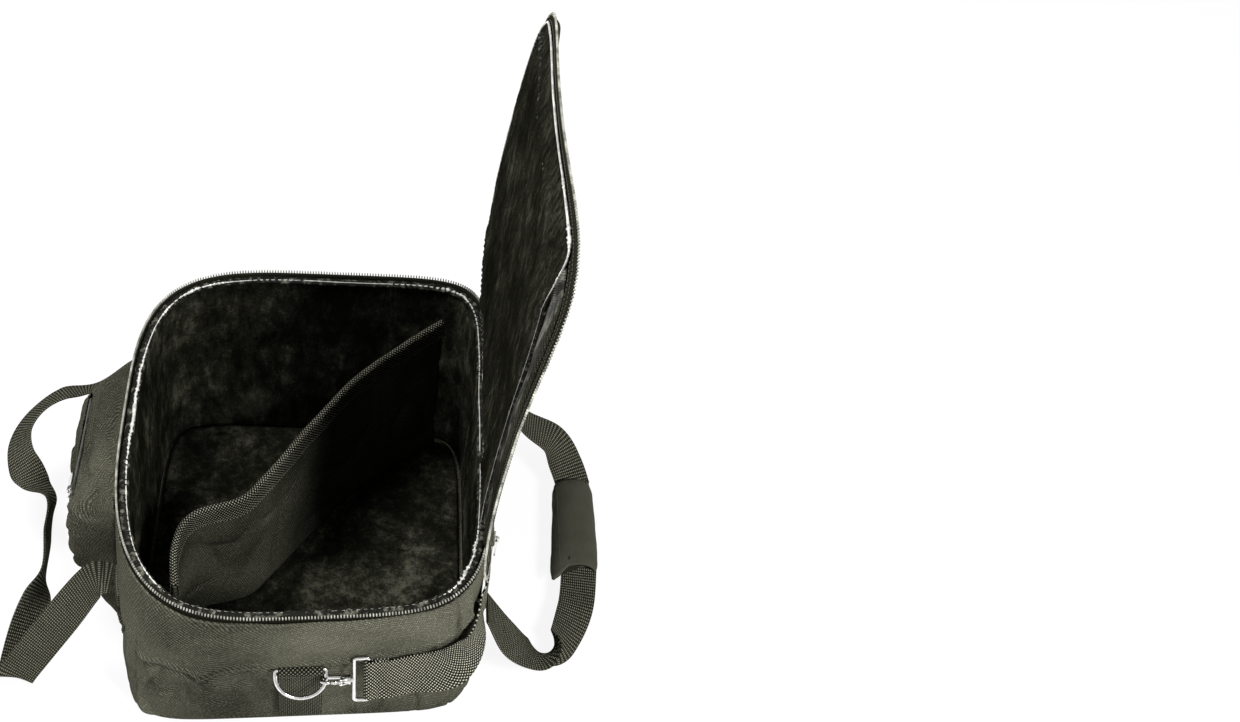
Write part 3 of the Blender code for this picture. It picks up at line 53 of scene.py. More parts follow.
BASE_SQUARENESS = (6.9, 6.9, 6.9, 6.9)
MOUTH_SQUARENESS = (3.0, 5.5, 3.5, 6.0)
MOUTH_TAPER, MOUTH_SKEW = 0.015, 0.1
FRONT_SAG, REAR_SAG, LEFT_SAG = 0.020, 0.0085, 0.009
SHELL = 0.0012
BAND_SEAM, BAND_DROP = 0.56, 0.009
WALL_SEAMS = (306.0, 228.0, 135.0, 45.0)
HINGE_SIDE = (342.0, 386.0)
WALL_NODES = [side + part for side in ("front", "rear", "left") for part in ("_panel", "_band")]
WALL_NODES += ["right_panel", "hinge_band"]
SEAM_SAG = (
    (0.0, 0.56), (215.0, 0.56), (226.0, 0.50), (235.0, 0.49), (245.0, 0.53), (252.0, 0.51), (256.5, 0.50),
    (259.0, 0.46), (260.0, 0.43), (261.5, 0.45), (265.0, 0.52), (268.0, 0.545), (270.5, 0.56), (275.0, 0.62),
    (283.0, 0.655), (292.0, 0.68), (302.0, 0.71), (315.0, 0.75), (328.0, 0.77), (340.0, 0.62), (350.0, 0.56),
    (360.0, 0.56),
)


def mix(a, b, share):
    return a + (b - a) * share


def unit(vectors):
    return vectors / np.linalg.norm(vectors, axis=-1, keepdims=True)


def quadrant(values, cosine, sine):
    """The value of each quarter turn: front left, front right, rear left, rear right."""
    front = np.where(cosine < 0, values[0], values[1])
    rear = np.where(cosine < 0, values[2], values[3])
    return np.where(sine < 0, front, rear)


def mouth_outline(share, radians):
    """The bag's outline in plan, from its base at share 0 to its mouth at share 1."""
    cosine, sine = np.cos(radians), np.sin(radians)
    square = mix(quadrant(BASE_SQUARENESS, cosine, sine), quadrant(MOUTH_SQUARENESS, cosine, sine), share)
    width, front, rear = (mix(low, high, share) for low, high in zip(BASE_REACH, MOUTH_REACH))
    x = width * np.sign(cosine) * np.abs(cosine) ** (2 / square)
    y = np.where(sine < 0, front, rear) * np.sign(sine) * np.abs(sine) ** (2 / square)
    x = x * (1 + MOUTH_TAPER * share * y / rear)
    return np.stack([x, y + MOUTH_SKEW * x * np.maximum(-sine, 0)], axis=-1)


def rim_height(degrees):
    """The height of the mouth's edge, which sags at the front, the rear and the left."""
    cosine, sine = np.cos(np.radians(degrees)), np.sin(np.radians(degrees))
    front, rear = FRONT_SAG * np.maximum(-sine, 0) ** 2, REAR_SAG * np.maximum(sine, 0) ** 2
    return BAG_HEIGHT - front - rear - LEFT_SAG * np.maximum(-cosine, 0) ** 2


def wall_ring(degrees, height_share, inset=0.0, lift=0.0):
    """Points round the bag at a share of the rim's height, set in from the outer cloth and lifted."""
    degrees = np.asarray(degrees, float)
    rim = rim_height(degrees)
    height = rim * height_share + lift
    share = np.clip(height / rim, 0.0, 1.0)
    radians, step = np.radians(degrees), 0.004
    plan = mouth_outline(share, radians)
    way = unit(mouth_outline(share, radians + step) - mouth_outline(share, radians - step))
    inward = np.stack([-way[..., 1], way[..., 0]], axis=-1)
    plan = plan + np.asarray(inset * np.ones_like(degrees))[..., None] * inward
    return np.concatenate([plan, height[..., None]], axis=-1)


def ripple(points, size, seed=0.0, octaves=3):
    """Smooth noise at points, about -1 to 1, with swells of about this size in metres."""
    flat = np.asarray(points, float).reshape(-1, 3) / size + seed
    values = [noise.fractal(Vector(point), 1.0, 2.0, octaves) for point in flat]
    return np.array(values).reshape(np.asarray(points).shape[:-1])


def hump(distance, width):
    """A smooth hump, 1 at no distance, that falls away over this width."""
    return np.exp(-((distance / width) ** 2))


def eased(value):
    share = np.clip(value, 0.0, 1.0)
    return share * share * (3 - 2 * share)


def full_turn(count):
    """Even angles round the bag, in degrees."""
    return np.linspace(0.0, 360.0, count, endpoint=False)


def linked(name, data):
    """A new object of the scene that shows this data."""
    made = bpy.data.objects.new(name, data)
    bpy.context.scene.collection.objects.link(made)
    return made


def run_of(route):
    """How far along the route each of its points lies."""
    return np.concatenate([[0.0], np.cumsum(np.linalg.norm(np.diff(route, axis=0), axis=1))])


def surface(name, grid, uv=None, around=False, along=False, caps=(), sharp=None):
    """A mesh through rows of points, with a UV map in metres.

    Around closes each row, along joins the last row to the first, and caps lists (row, turn) to fill in.
    """
    grid = np.array(grid)
    rows, columns = grid.shape[:2]
    r = np.arange(rows if along else rows - 1)
    c = np.arange(columns if around else columns - 1)
    r, c = np.meshgrid(r, c, indexing="ij")
    corners = ((r, c), (r, c + 1), (r + 1, c + 1), (r + 1, c))
    quads = np.stack([(a % rows) * columns + b % columns for a, b in corners], -1).reshape(-1, 4)
    if uv is None:
        wide = np.concatenate([grid, grid[:, :1]], 1) if around else grid
        tall = np.concatenate([grid, grid[:1]], 0) if along else grid
        across = np.linalg.norm(np.diff(wide, axis=1), axis=-1).mean(0)
        up = np.linalg.norm(np.diff(tall, axis=0), axis=-1).mean(1)
        across, up = (np.concatenate([[0.0], np.cumsum(step)]) for step in (across, up))
        uv = np.stack(np.meshgrid(across, up), axis=-1)
    loops = np.stack([uv[a, b] for a, b in corners], 2).reshape(-1, 2)
    faces = quads.tolist()
    for row, turn in caps:
        faces.append([row * columns + k for k in range(columns)][::turn])
        loops = np.concatenate([loops, uv[row, :columns][::turn]])
    mesh = bpy.data.meshes.new(name)
    mesh.from_pydata(grid.reshape(-1, 3).tolist(), [], faces)
    mesh.uv_layers.new(name="cloth").data.foreach_set("uv", loops.astype(np.float32).ravel())
    mesh.polygons.foreach_set("use_smooth", np.ones(len(mesh.polygons), bool))
    if sharp:
        mesh.set_sharp_from_angle(angle=math.radians(sharp))
    return linked(name, mesh)


def thicken(obj, thickness, offset=-1.0):
    solid = obj.modifiers.new("thickness", "SOLIDIFY")
    solid.thickness, solid.offset = thickness, offset
    return obj


def fitted(obj, finish, body, slot, *replaced):
    """The piece gets its finish, rides on its body and stands for its solids."""
    obj.data.materials.append(finish)
    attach(obj, body)
    if replaced:
        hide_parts(*replaced)
    return obj


class Tone:
    """A socket of a finish; arithmetic on it adds Math nodes."""

    def __init__(self, finish, socket):
        self.finish, self.socket = finish, socket

    def math(self, operation, *others):
        return self.finish.node("Math", dict(enumerate((self, *others))), operation=operation)

    def __add__(self, other):
        return self.math("ADD", other)

    def __sub__(self, other):
        return self.math("SUBTRACT", other)

    def __mul__(self, other):
        return self.math("MULTIPLY", other)

    __radd__ = __add__

    def wave(self, pitch):
        """A wave from 0 to 1 with this pitch in metres."""
        return (self * (2 * math.pi / pitch)).math("SINE") * 0.5 + 0.5

    def highest(self, other):
        return self.math("MAXIMUM", other)


class Finish:
    """A node material or world: node() adds any node and gives one of its outputs as a Tone."""

    def __init__(self, name, kind="materials", shader="Principled BSDF", **fixed):
        self.material = getattr(bpy.data, kind).new(name)
        self.material.use_nodes = True
        self.tree = self.material.node_tree
        self.shader = self.tree.nodes[shader]
        for socket, value in fixed.items():
            self.shader.inputs[socket.replace("_", " ")].default_value = value

    def node(self, kind, inputs, output=0, stops=None, **settings):
        made = self.tree.nodes.new("ShaderNode" + kind)
        for setting, value in settings.items():
            setattr(made, setting, value)
        if stops:
            for stop in stops[2:]:
                made.color_ramp.elements.new(stop[0])
            for element, (place, level) in zip(made.color_ramp.elements, sorted(stops)):
                element.position, element.color = place, (level, level, level, 1.0)
        for socket, value in inputs.items():
            self.feed(made.inputs[socket], value)
        return Tone(self, made.outputs[output])

    def feed(self, socket, value):
        if isinstance(value, Tone):
            self.tree.links.new(value.socket, socket)
        elif isinstance(value, tuple) and len(value) == 3 and socket.type == "RGBA":
            socket.default_value = (*value, 1.0)
        else:
            socket.default_value = value

    def across(self):
        """The cloth's own coordinates in metres: (along a row, up the rows)."""
        uv = self.node("UVMap", {}, uv_map="cloth")
        parts = self.node("SeparateXYZ", {0: uv})
        return parts, Tone(self, parts.socket.node.outputs[1])

    def place(self, stretch=(1.0, 1.0, 1.0)):
        """The place in the object in metres, drawn out by a stretch."""
        here = self.node("TexCoord", {}, output=3)
        return self.node("VectorMath", {0: here, 1: tuple(1 / s for s in stretch)}, operation="MULTIPLY")

    def noise(self, where, scale, detail=3.0, roughness=0.55):
        inputs = {"Vector": where, "Scale": scale, "Detail": detail, "Roughness": roughness}
        return self.node("TexNoise", inputs, normalize=True)

    def ramp(self, value, *stops):
        return self.node("ValToRGB", {0: value}, stops=stops)

    def blend(self, share, a, b):
        return self.node("Mix", {0: share, 6: a, 7: b}, output=2, data_type="RGBA")

    def finish(self, colour, roughness, height, depth, strength):
        bump = self.node("Bump", {"Height": height, "Distance": depth, "Strength": strength})
        for socket, value in (("Base Color", colour), ("Roughness", roughness), ("Normal", bump)):
            self.feed(self.shader.inputs[socket], value)
        return self.material


NYLON_DARK, NYLON_MIDDLE, NYLON_LIGHT = (0.014, 0.014, 0.0096), (0.084, 0.0837, 0.062), (0.38, 0.378, 0.30)
TWILL_PITCH, THREAD_PITCH = 0.0036, 0.0024


def woven_nylon(name, painted_shade_level=1.0):
    """A coarse twill: diagonal ribs crossed by threads, with specks of yarn, dulled and dusted unevenly."""
    cloth = Finish(name, Specular_IOR_Level=0.0)
    along, up = cloth.across()
    here = cloth.place()
    wander = cloth.noise(here, 220.0, 2.0) * 0.0009
    rib = (along * 0.62 + up + wander).wave(TWILL_PITCH)
    thread = (along - up * 0.35 + wander).wave(THREAD_PITCH)
    weave = rib * 0.6 + thread * 0.4
    grain = cloth.ramp(cloth.noise(here, 720.0, 2.0, 0.7), (0.30, 0.0), (0.70, 1.0))
    dust = cloth.noise(here, 9.0, 5.0, 0.62)
    patch = cloth.ramp(cloth.noise(here, 4.5, 2.0, 0.5), (0.38, 0.0), (0.62, 1.0))
    speck = cloth.ramp(weave * 0.45 + grain * 0.55, (0.56, 0.0), (0.94, 1.0))
    shade = cloth.ramp(weave * 0.28 + grain * 0.2 + dust * 0.6 + patch * 0.2, (0.40, 0.0), (0.92, 1.0))
    # The level scales all three tones; below 1 it makes a darker copy of the cloth, which is painted shade.
    tones = (NYLON_DARK, NYLON_MIDDLE, NYLON_LIGHT)
    dark, middle, light = (tuple(v * painted_shade_level for v in tone) for tone in tones)
    tone = cloth.blend(shade, dark, middle)
    tone = cloth.blend(speck * (0.10 + dust * 0.30 + patch * 0.16), tone, light)
    return cloth.finish(tone, 0.62 + dust * 0.2, weave * 0.8 + grain * 0.4, 0.0004, 0.8)


NYLON = woven_nylon("woven_nylon")


def band_seam(degrees):
    """The share of the rim's height where the band ends: it sags in front and rides up at the right."""
    places, shares = zip(*SEAM_SAG)
    return np.interp(np.asarray(degrees) % 360.0, places, shares)


def fold_line(*places):
    """Close points along a fold of the wall, given as (angle, share of the height)."""
    steps = np.linspace(0.0, len(places) - 1, 14 * (len(places) - 1))
    angle, share = (np.interp(steps, range(len(places)), values) for values in zip(*places))
    return wall_ring(angle, share)


# The sharper folds of the walls, as height, half width and the places they pass
WALL_FOLDS = (
    (0.0042, 0.0062, (233.0, 0.50), (240.0, 0.385), (248.0, 0.32), (257.0, 0.285)),
    (-0.0034, 0.0062, (236.0, 0.45), (243.0, 0.33), (250.0, 0.26), (256.0, 0.22)),
    (-0.0036, 0.0050, (259.5, 0.43), (261.0, 0.36), (264.0, 0.30)),
    (0.0034, 0.0070, (262.0, 0.42), (265.5, 0.36), (268.5, 0.34)),
    (0.0026, 0.0055, (229.0, 0.10), (236.0, 0.03), (246.0, 0.0)),
    (-0.0030, 0.0060, (274.0, 0.42), (277.0, 0.30), (284.0, 0.16)),
    (0.0026, 0.0070, (272.6, 0.50), (274.5, 0.34), (276.0, 0.12)),
    (-0.0032, 0.0060, (214.0, 0.78), (220.0, 0.62), (228.0, 0.54)),
    (0.0030, 0.0060, (218.0, 0.86), (222.0, 0.74), (229.0, 0.62)),
    (-0.0034, 0.0065, (60.0, 0.52), (72.0, 0.40), (90.0, 0.34)),
    (0.0034, 0.0070, (118.0, 0.50), (108.0, 0.36), (96.0, 0.28)),
    (-0.0032, 0.0065, (24.0, 0.50), (14.0, 0.36), (2.0, 0.30)),
)
FOLD_LINES = [(fold_line(*places), high, wide) for high, wide, *places in WALL_FOLDS]


def folded(points):
    """How far the sharper folds stand out of the wall."""
    raised = np.zeros(len(points))
    for line, high, wide in FOLD_LINES:
        near = np.linalg.norm(line - line.mean(0), axis=1).max() + wide * 4
        picked = np.linalg.norm(points - line.mean(0), axis=1) < near
        if picked.any():
            away = np.linalg.norm(points[picked][:, None] - line[None], axis=-1)
            along = np.argmin(away, axis=1) / (len(line) - 1)
            raised[picked] += high * hump(away.min(1), wide) * np.sin(math.pi * along) ** 0.6
    return raised


def seam_draw(points, share):
    """How far the cloth is drawn in at the upright seams between the walls."""
    drawn = 0.0
    for seam in WALL_SEAMS:
        at = wall_ring(np.full(points.shape[:-1], seam), share)
        distance = np.linalg.norm((points - at)[..., :2], axis=-1)
        drawn = drawn - 0.0015 * hump(distance, 0.0018) + 0.0008 * hump(distance, 0.008)
    return drawn


def pressed_flat(degrees, height):
    """From 0 to 1, how far the side walls lie flat behind the handles, which swing up against them."""
    side = np.abs(degrees % 360.0 - 183.0)
    right = (degrees + 180.0) % 360.0 - 180.0
    behind = np.maximum(1 - eased((side - 46.0) / 5.0), 1 - eased((np.abs(right) - 38.0) / 6.0))
    return behind * eased((height - 0.075) / 0.03)


def wall_swell(degrees, share):
    """How far the padded wall stands out from its pattern."""
    flat = wall_ring(degrees, share)
    rim = rim_height(degrees)
    seam = band_seam(degrees)
    above = (share - seam) * rim
    band_share = np.clip((share - seam) / (1 - seam), 0.0, 1.0)
    facing = np.where(np.sin(np.radians(degrees)) < -0.3, 1.0, 0.5)
    swell = 0.0026 * ripple(flat, 0.10, 3.0) + 0.0008 * ripple(flat, 0.03, 9.0)
    # The band's rolled edge, and the groove under it
    swell += 0.0038 * hump(above - 0.0030, 0.0038) - 0.0044 * hump(above + 0.0048, 0.0046)
    # Lobes over the strap at the right front corner, parted by a crease
    lobes = hump(degrees - 309.0, 24.0) * (1 - 0.7 * hump(degrees - 305.5, 1.5))
    swell += 0.0062 * lobes * eased(above / 0.006) * hump(np.maximum(above - 0.010, 0.0), 0.026)
    # The band is full between its seams, most under the zip at the front
    swell += 0.0030 * np.sin(math.pi * band_share) ** 2 * facing
    swell += 0.0030 * hump(rim * (1 - share) - 0.020, 0.009) * hump(degrees - 262.0, 22.0)
    # Creases below the band, the upright seams, and the foot turned in under the bag
    creases = np.abs(ripple(flat * (1.0, 1.0, 0.55), 0.055, 21.0, 2))
    swell += -0.0028 * hump(creases, 0.10) * eased(-above / 0.02)
    swell += folded(flat) + seam_draw(flat, share)
    swell -= 0.0035 * np.clip(1 - share * rim / 0.009, 0.0, 1.0) ** 2
    # Flat behind the handles, and dented at the left handle's front root
    swell = np.where(swell > 0, swell * (1 - pressed_flat(degrees, share * rim)), swell)
    dent = hump(np.hypot(flat[..., 1] + 0.133, flat[..., 2] - 0.167), 0.014)
    swell -= 0.0014 * dent * (flat[..., 0] < 0)
    return swell * np.clip((1.0 - share) * rim / 0.012, 0.0, 1.0)


def walls():
    degrees = full_turn(1100)
    rows_at = ((0.0, 0.05, 7), (0.05, 0.53, 43), (0.53, 0.62, 25), (0.62, 1.0, 33))
    spans = [np.linspace(low, high, steps, endpoint=False) for low, high, steps in rows_at]
    hinged = (degrees > HINGE_SIDE[0]) | (degrees < HINGE_SIDE[1] - 360.0)
    drop = np.where(hinged, 0.0, BAND_DROP)
    seam = band_seam(degrees)
    rows = []
    for share in np.concatenate([*spans, [1.0]]):
        below, over = share * seam / BAND_SEAM, 1 - (1 - share) * (1 - seam) / (1 - BAND_SEAM)
        reached = np.where(share < BAND_SEAM, below, over) * (1 - drop / rim_height(degrees))
        rows.append(wall_ring(degrees, reached, -wall_swell(degrees, reached)))
    skin = surface("outer_walls", rows, around=True)
    return fitted(thicken(skin, SHELL), NYLON, "bag", "nylon", *WALL_NODES)


outer_walls = walls()


# Base: the same nylon, stretched over a stiff board and turned up at the walls.
# Its underside is slack between the board's edge and the seam, so it dips a little there.
def disc(name, rings, flat):
    """A mesh through closed rings from an edge inwards, filled in the middle, with flat points for UVs."""
    flat = np.array(flat)
    flat = np.concatenate([flat, flat[:, :1]], 1)
    return surface(name, rings, flat, around=True, caps=((len(rings) - 1, 1),))


def level_disc(name, inset, columns, rings, height):
    """A disc inside the base's outline; height is a function of the ring and its share of the way out."""
    edge = wall_ring(full_turn(columns), 0.0, inset)
    grid = []
    for share in np.linspace(1.0, 0.0, rings)[:-1]:
        ring = edge * (share, share, 0.0)
        ring[:, 2] = height(ring, share)
        grid.append(ring)
    return disc(name, grid, np.array(grid)[..., :2])


def base_cloth():
    low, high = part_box("base_panel")

    def dipped(ring, share):
        return high.z - 0.0006 * hump(1 - share, 0.03) - 0.0003 * hump(1 - share - 0.06, 0.02)

    cloth = level_disc("base_cloth", SHELL + 0.0007, 300, 40, dipped)
    fitted(thicken(cloth, high.z - low.z - 0.0006), NYLON, "bag", "nylon", "base_panel")


base_cloth()


# Inside: black plush pile, glued over foam and caught under the binding at the mouth.
# The foam swells it between the seams; the pile is brushed in streaks.
FOAM, PLUSH, CLEARANCE = 0.006, 0.004, 0.00035
FOAM_INSET = SHELL + 6 * CLEARANCE
LINING_INSET = FOAM_INSET + FOAM + 2 * CLEARANCE
LINING_DROP = 0.012
FLOOR_INSET = LINING_INSET + PLUSH + 3 * CLEARANCE
PLUSH_DARK, PLUSH_LIGHT = (0.0060, 0.0060, 0.0041), (0.100, 0.0995, 0.073)


def plush_pile(name, stretch, painted_shade_level=1.0):
    """Short brushed pile: dark hollows, paler streaks along the brushing, tufts that stand and lie."""
    pile = Finish(name, Specular_IOR_Level=0.0)
    here = pile.place(stretch)
    plain = pile.place()
    streak = pile.noise(here, 75.0, 5.0, 0.7)
    tuft = pile.noise(plain, 420.0, 4.0, 0.7)
    cloud = pile.ramp(pile.noise(plain, 13.0, 5.0, 0.65), (0.36, 0.0), (0.66, 1.0))
    level = pile.ramp(streak * 0.62 + tuft * 0.34 + cloud * 0.2, (0.50, 0.0), (0.62, 0.14), (0.84, 1.0))
    # The level scales the pale tone; below 1 it makes a darker copy of the pile, which is painted shade.
    light = tuple(v * painted_shade_level for v in PLUSH_LIGHT)
    tone = pile.blend(level, PLUSH_DARK, light)
    return pile.finish(tone, 0.95, tuft * 0.7 + streak * 0.7, 0.0022, 1.0)


PILE = plush_pile("plush_pile", (1.0, 1.0, 2.2))


def lining():
    degrees = full_turn(420)
    rows = []
    for share in np.linspace(0.0, 1.0, 60):
        lift = mix(0.0032, -LINING_DROP, share)
        base = wall_ring(degrees, share, LINING_INSET, lift)
        swell = 0.0038 * ripple(base, 0.085, 31.0) + 0.0014 * ripple(base, 0.022, 5.0)
        swell = np.clip((swell + 0.0015) * math.sin(math.pi * min(share, 0.985)) ** 0.7, -0.002, 0.006)
        tufts = 0.0004 * ripple(base, 0.004, 2.0, 2)
        rows.append(wall_ring(degrees, share, LINING_INSET + swell + tufts, lift))
    inner = surface("body_lining_pile", np.flip(rows, 1), around=True)
    fitted(thicken(inner, 0.0025), PILE, "bag", "plush", "body_lining", "body_foam")


lining()


def floor_lining():
    low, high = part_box("floor_lining")

    def tufted(ring, share):
        return high.z - 0.0015 * hump(1 - share, 0.03) - 0.0006 + 0.0006 * ripple(ring, 0.02, 12.0)

    floor = level_disc("floor_pile", FLOOR_INSET, 220, 60, tufted)
    fitted(thicken(floor, high.z - low.z - 0.001), PILE, "bag", "plush", "floor_lining", "base_board")


floor_lining()


# Zip round the mouth: a woven tape behind the cloth with a coarse nylon coil along its edge.
# Each turn of the coil is its own bead, and a row of stitches holds the tape to the band.
CHAIN_HALF, TAPE_THICKNESS = 0.0023, 0.0007
ZIP_SPAN = (19.0, 341.0)
TOOTH_PITCH, TOOTH = 0.0030, (0.0013, 0.0038, 0.0024)


def zip_tape_finish():
    tape = Finish("zip_tape", Specular_IOR_Level=0.0)
    along, up = tape.across()
    rib = along.wave(0.0014) * 0.5 + up.wave(0.0011) * 0.5
    tone = tape.blend(rib, (0.007, 0.007, 0.0045), (0.024, 0.0238, 0.0175))
    return tape.finish(tone, 0.8, rib, 0.0004, 0.7)


def coil_finish(name, dark, light):
    coil = Finish(name, Specular_IOR_Level=0.4)
    rub = coil.noise(coil.place(), 90.0, 3.0)
    tone = coil.blend(coil.ramp(rub, (0.35, 0.0), (0.7, 1.0)), dark, light)
    return coil.finish(tone, 0.28 + rub * 0.2, rub, 0.0002, 0.4)


TAPE, COIL = zip_tape_finish(), coil_finish("zip_coil", (0.10, 0.10, 0.08), (0.40, 0.399, 0.35))


def squared(vectors, way):
    """The vectors with their part along the way taken off, as unit vectors."""
    return unit(vectors - way * np.sum(vectors * way, axis=1, keepdims=True))


def paced(route, pitch, normals):
    """Places at an even pitch along a route: centres, ways along and normals."""
    run = run_of(route)
    stops = np.arange(pitch / 2, run[-1], pitch)

    def at(values, places):
        return np.stack([np.interp(places, run, values[:, k]) for k in range(3)], -1)

    along = unit(at(route, stops + pitch / 4) - at(route, stops - pitch / 4))
    return at(route, stops), along, squared(at(normals, stops), along)


def bead(long, wide, high, sides=8):
    """A rounded bead: rings of points along its length, as (along, across, out)."""
    turn = np.linspace(0.0, 2 * math.pi, sides, endpoint=False)
    y, z = (np.sign(a) * np.abs(a) ** 0.75 for a in (np.cos(turn), np.sin(turn)))
    rings = []
    for place, size in ((-0.5, 0.55), (-0.33, 0.95), (0.33, 0.95), (0.5, 0.55)):
        ring = [np.full(sides, place * long), y * wide / 2 * size, z * high / 2 * size]
        rings.append(np.stack(ring, -1))
    return np.array(rings)


def beaded(name, route, normals, pitch, shape):
    """One bead of this shape at each pitch along a route."""
    centres, along, out = paced(route, pitch, np.broadcast_to(normals, route.shape))
    axes = np.stack([along, np.cross(out, along), out], axis=1)
    rings, sides = shape.shape[:2]
    verts = (shape.reshape(1, -1, 3) @ axes + centres[:, None]).reshape(-1, 3)
    faces = []
    for first in range(0, (rings - 1) * sides, sides):
        for s, t in zip(range(sides), (*range(1, sides), 0)):
            faces.append((first + s, first + t, first + sides + t, first + sides + s))
    faces += [range(sides)[::-1], range((rings - 1) * sides, rings * sides)]
    starts = range(0, len(verts), rings * sides)
    every = [tuple(start + v for v in face) for start in starts for face in faces]
    mesh = bpy.data.meshes.new(name)
    mesh.from_pydata(verts.tolist(), [], every)
    mesh.polygons.foreach_set("use_smooth", np.ones(len(mesh.polygons), bool))
    return linked(name, mesh)


def outward(degrees):
    """Unit vectors out of the wall at these angles, level with the mouth."""
    return unit(wall_ring(degrees, 1.0, -0.001) - wall_ring(degrees, 1.0))


def zipped(tape, rows, coil, core, out, tooth, finish, body, solids, pitch=TOOTH_PITCH):
    """A woven tape through rows of points and a coil along its core, for the solids of one zip."""
    fitted(thicken(surface(tape, rows), TAPE_THICKNESS), TAPE, body, "tape", solids + "_tape")
    fitted(beaded(coil, core, out, pitch, bead(*tooth)), finish, body, "chain", solids + "_chain")


def mouth_zip():
    degrees = np.linspace(*ZIP_SPAN, 900)
    rows = [wall_ring(degrees, 1.0, SHELL + 2 * CLEARANCE, -drop) for drop in np.linspace(0.022, 0.0036, 6)]
    core = wall_ring(degrees, 1.0, 0.0014, -CHAIN_HALF)
    zipped("mouth_zip_tape", rows, "mouth_zip_coil", core, outward(degrees), TOOTH, COIL, "bag", "body_zip")


mouth_zip()


def ways(route, closed=False):
    """The way from before each point of a route to after it."""
    return np.roll(route, -1, 0) - np.roll(route, 1, 0) if closed else np.gradient(route, axis=0)


def swept(name, route, sides, profile, along=False, sharp=None):
    """A profile of (across, out) points carried along a route, its width turned towards each side vector."""
    way = unit(ways(route, along))
    side = squared(sides, way)
    face = np.cross(way, side)
    profile = np.broadcast_to(profile, (len(route), *np.shape(profile)[-2:]))
    grid = route[:, None] + side[:, None] * profile[..., :1] + face[:, None] * profile[..., 1:]
    run, girth = run_of(route), run_of(np.concatenate([profile[0], profile[0][:1]]))
    if along:
        run = np.append(run, 2 * run[-1] - run[-2])
    uv = np.stack(np.meshgrid(girth, run), axis=-1)
    ends = () if along else ((0, -1), (len(route) - 1, 1))
    return surface(name, grid, uv, around=True, along=along, caps=ends, sharp=sharp)


THREAD_RADIUS = 0.00042


def thread_finish():
    thread = Finish("sewing_thread", Specular_IOR_Level=0.0)
    twist = thread.noise(thread.place(), 1400.0, 2.0)
    tone = thread.blend(twist, (0.03, 0.03, 0.023), (0.12, 0.12, 0.095))
    return thread.finish(tone, 0.55, twist, 0.0002, 0.5)


THREAD = thread_finish()
STITCH = bead(0.0027, 2 * THREAD_RADIUS, 2 * THREAD_RADIUS, 6)
STITCH_PITCH, STITCH_STAND = 0.0038, 0.0002
PAST_SEAM, UNDER_ZIP, SEAM_SPAN = 0.0045, 0.0106, (40.0, 318.0)


def stitched(name, route, normals, body="bag", slot="nylon"):
    return fitted(beaded(name, route, normals, STITCH_PITCH, STITCH), THREAD, body, slot)


def wall_stitches(name, degrees, share):
    route = wall_ring(degrees, share, -wall_swell(degrees, share) - STITCH_STAND)
    stitched(name, route, outward(degrees))


def band_stitches():
    zip_row, seam_row = np.linspace(*ZIP_SPAN, 900), np.linspace(*SEAM_SPAN, 1000)
    wall_stitches("band_stitches", zip_row, 1 - UNDER_ZIP / rim_height(zip_row))
    wall_stitches("seam_stitches", seam_row, band_seam(seam_row) + PAST_SEAM / rim_height(seam_row))


band_stitches()


# Binding: coated tape folded over the raw edges inside the mouth, with pale painted highlights on its
# wrinkles, and a thin pale cord along its crest that is a painted highlight of its shiny edge.
# It was sewn a little short, so it gathers into hard puckers at some places round the mouth, where the
# cord's painted highlight knots and brightens.
# The crease noise both bumps the tape and sets its colour: where it runs high the tape takes the light tone,
# a painted highlight on its wrinkles; the stops set where that happens.
def coated_tape(name, dark, light, rough, clear, stretch=(1.0, 1.0, 1.0), highlight_stops=(0.42, 0.66)):
    tape = Finish(name, Specular_IOR_Level=clear, Coat_Weight=clear, Coat_Roughness=0.15)
    here = tape.place(stretch)
    crease = tape.noise(here, 130.0, 4.0, 0.6)
    fine = tape.noise(here, 600.0, 2.0, 0.5)
    tone = tape.blend(tape.ramp(crease, (highlight_stops[0], 0.0), (highlight_stops[1], 1.0)), dark, light)
    return tape.finish(tone, rough + fine * 0.2, crease + fine * 0.15, 0.0010, 0.7)


# The binding's light tone is a painted highlight on its wrinkles, over dark tape.
BINDING_DARK_AND_HIGHLIGHT = (0.006, 0.006, 0.0045), (0.13, 0.1295, 0.105)
BINDING = coated_tape("binding_tape", *BINDING_DARK_AND_HIGHLIGHT, 0.5, 0.03, highlight_stops=(0.52, 0.74))
# The cord is pale all over: a painted highlight along the binding's shiny crest.
HIGHLIGHT_CORD = coated_tape("painted_highlight_cord", (0.30, 0.30, 0.275), (0.60, 0.60, 0.565), 0.2, 0.6)


def circle(count):
    turn = np.linspace(0.0, 2 * math.pi, count, endpoint=False)
    return np.stack([np.cos(turn), np.sin(turn)], -1)


def pucker_profile(points, half_width, half_height):
    """A flattened tube that swells, leans and creases a little along its length."""
    run, turned_to = run_of(points)[:, None], circle(16)
    swell = 1 + 0.12 * ripple(points, 0.014, 4.0, 2)
    profile = turned_to * (half_width, half_height) * swell[:, None, None]
    crease = 0.0006 * np.sin(run * 2 * math.pi / 0.0065 + 2.2 * turned_to[:, 0] + 8 * swell[:, None])
    reach = np.linalg.norm(profile, axis=-1, keepdims=True)
    return profile * (1 + (crease * (0.4 + np.abs(turned_to[:, 1])))[..., None] / reach)


def highlight_cord_profile(points, gathers, radius):
    """A thin round cord of painted highlight that thickens and knots where it is gathered."""
    run, turn = run_of(points), np.linspace(0.0, 2 * math.pi, 10, endpoint=False)
    knots = 0.6 + 0.4 * np.sin(run * 2 * math.pi / 0.0058 + 5 * ripple(points, 0.02, 3.0, 2))
    size = radius * (1 + 0.25 * ripple(points, 0.05, 8.0, 2)) + 0.0017 * gathers * knots
    lumps = 1 + 0.3 * gathers[:, None] * np.sin(run[:, None] * 2 * math.pi / 0.0043 + 2 * turn)
    return circle(10) * lumps[..., None] * size[:, None, None]


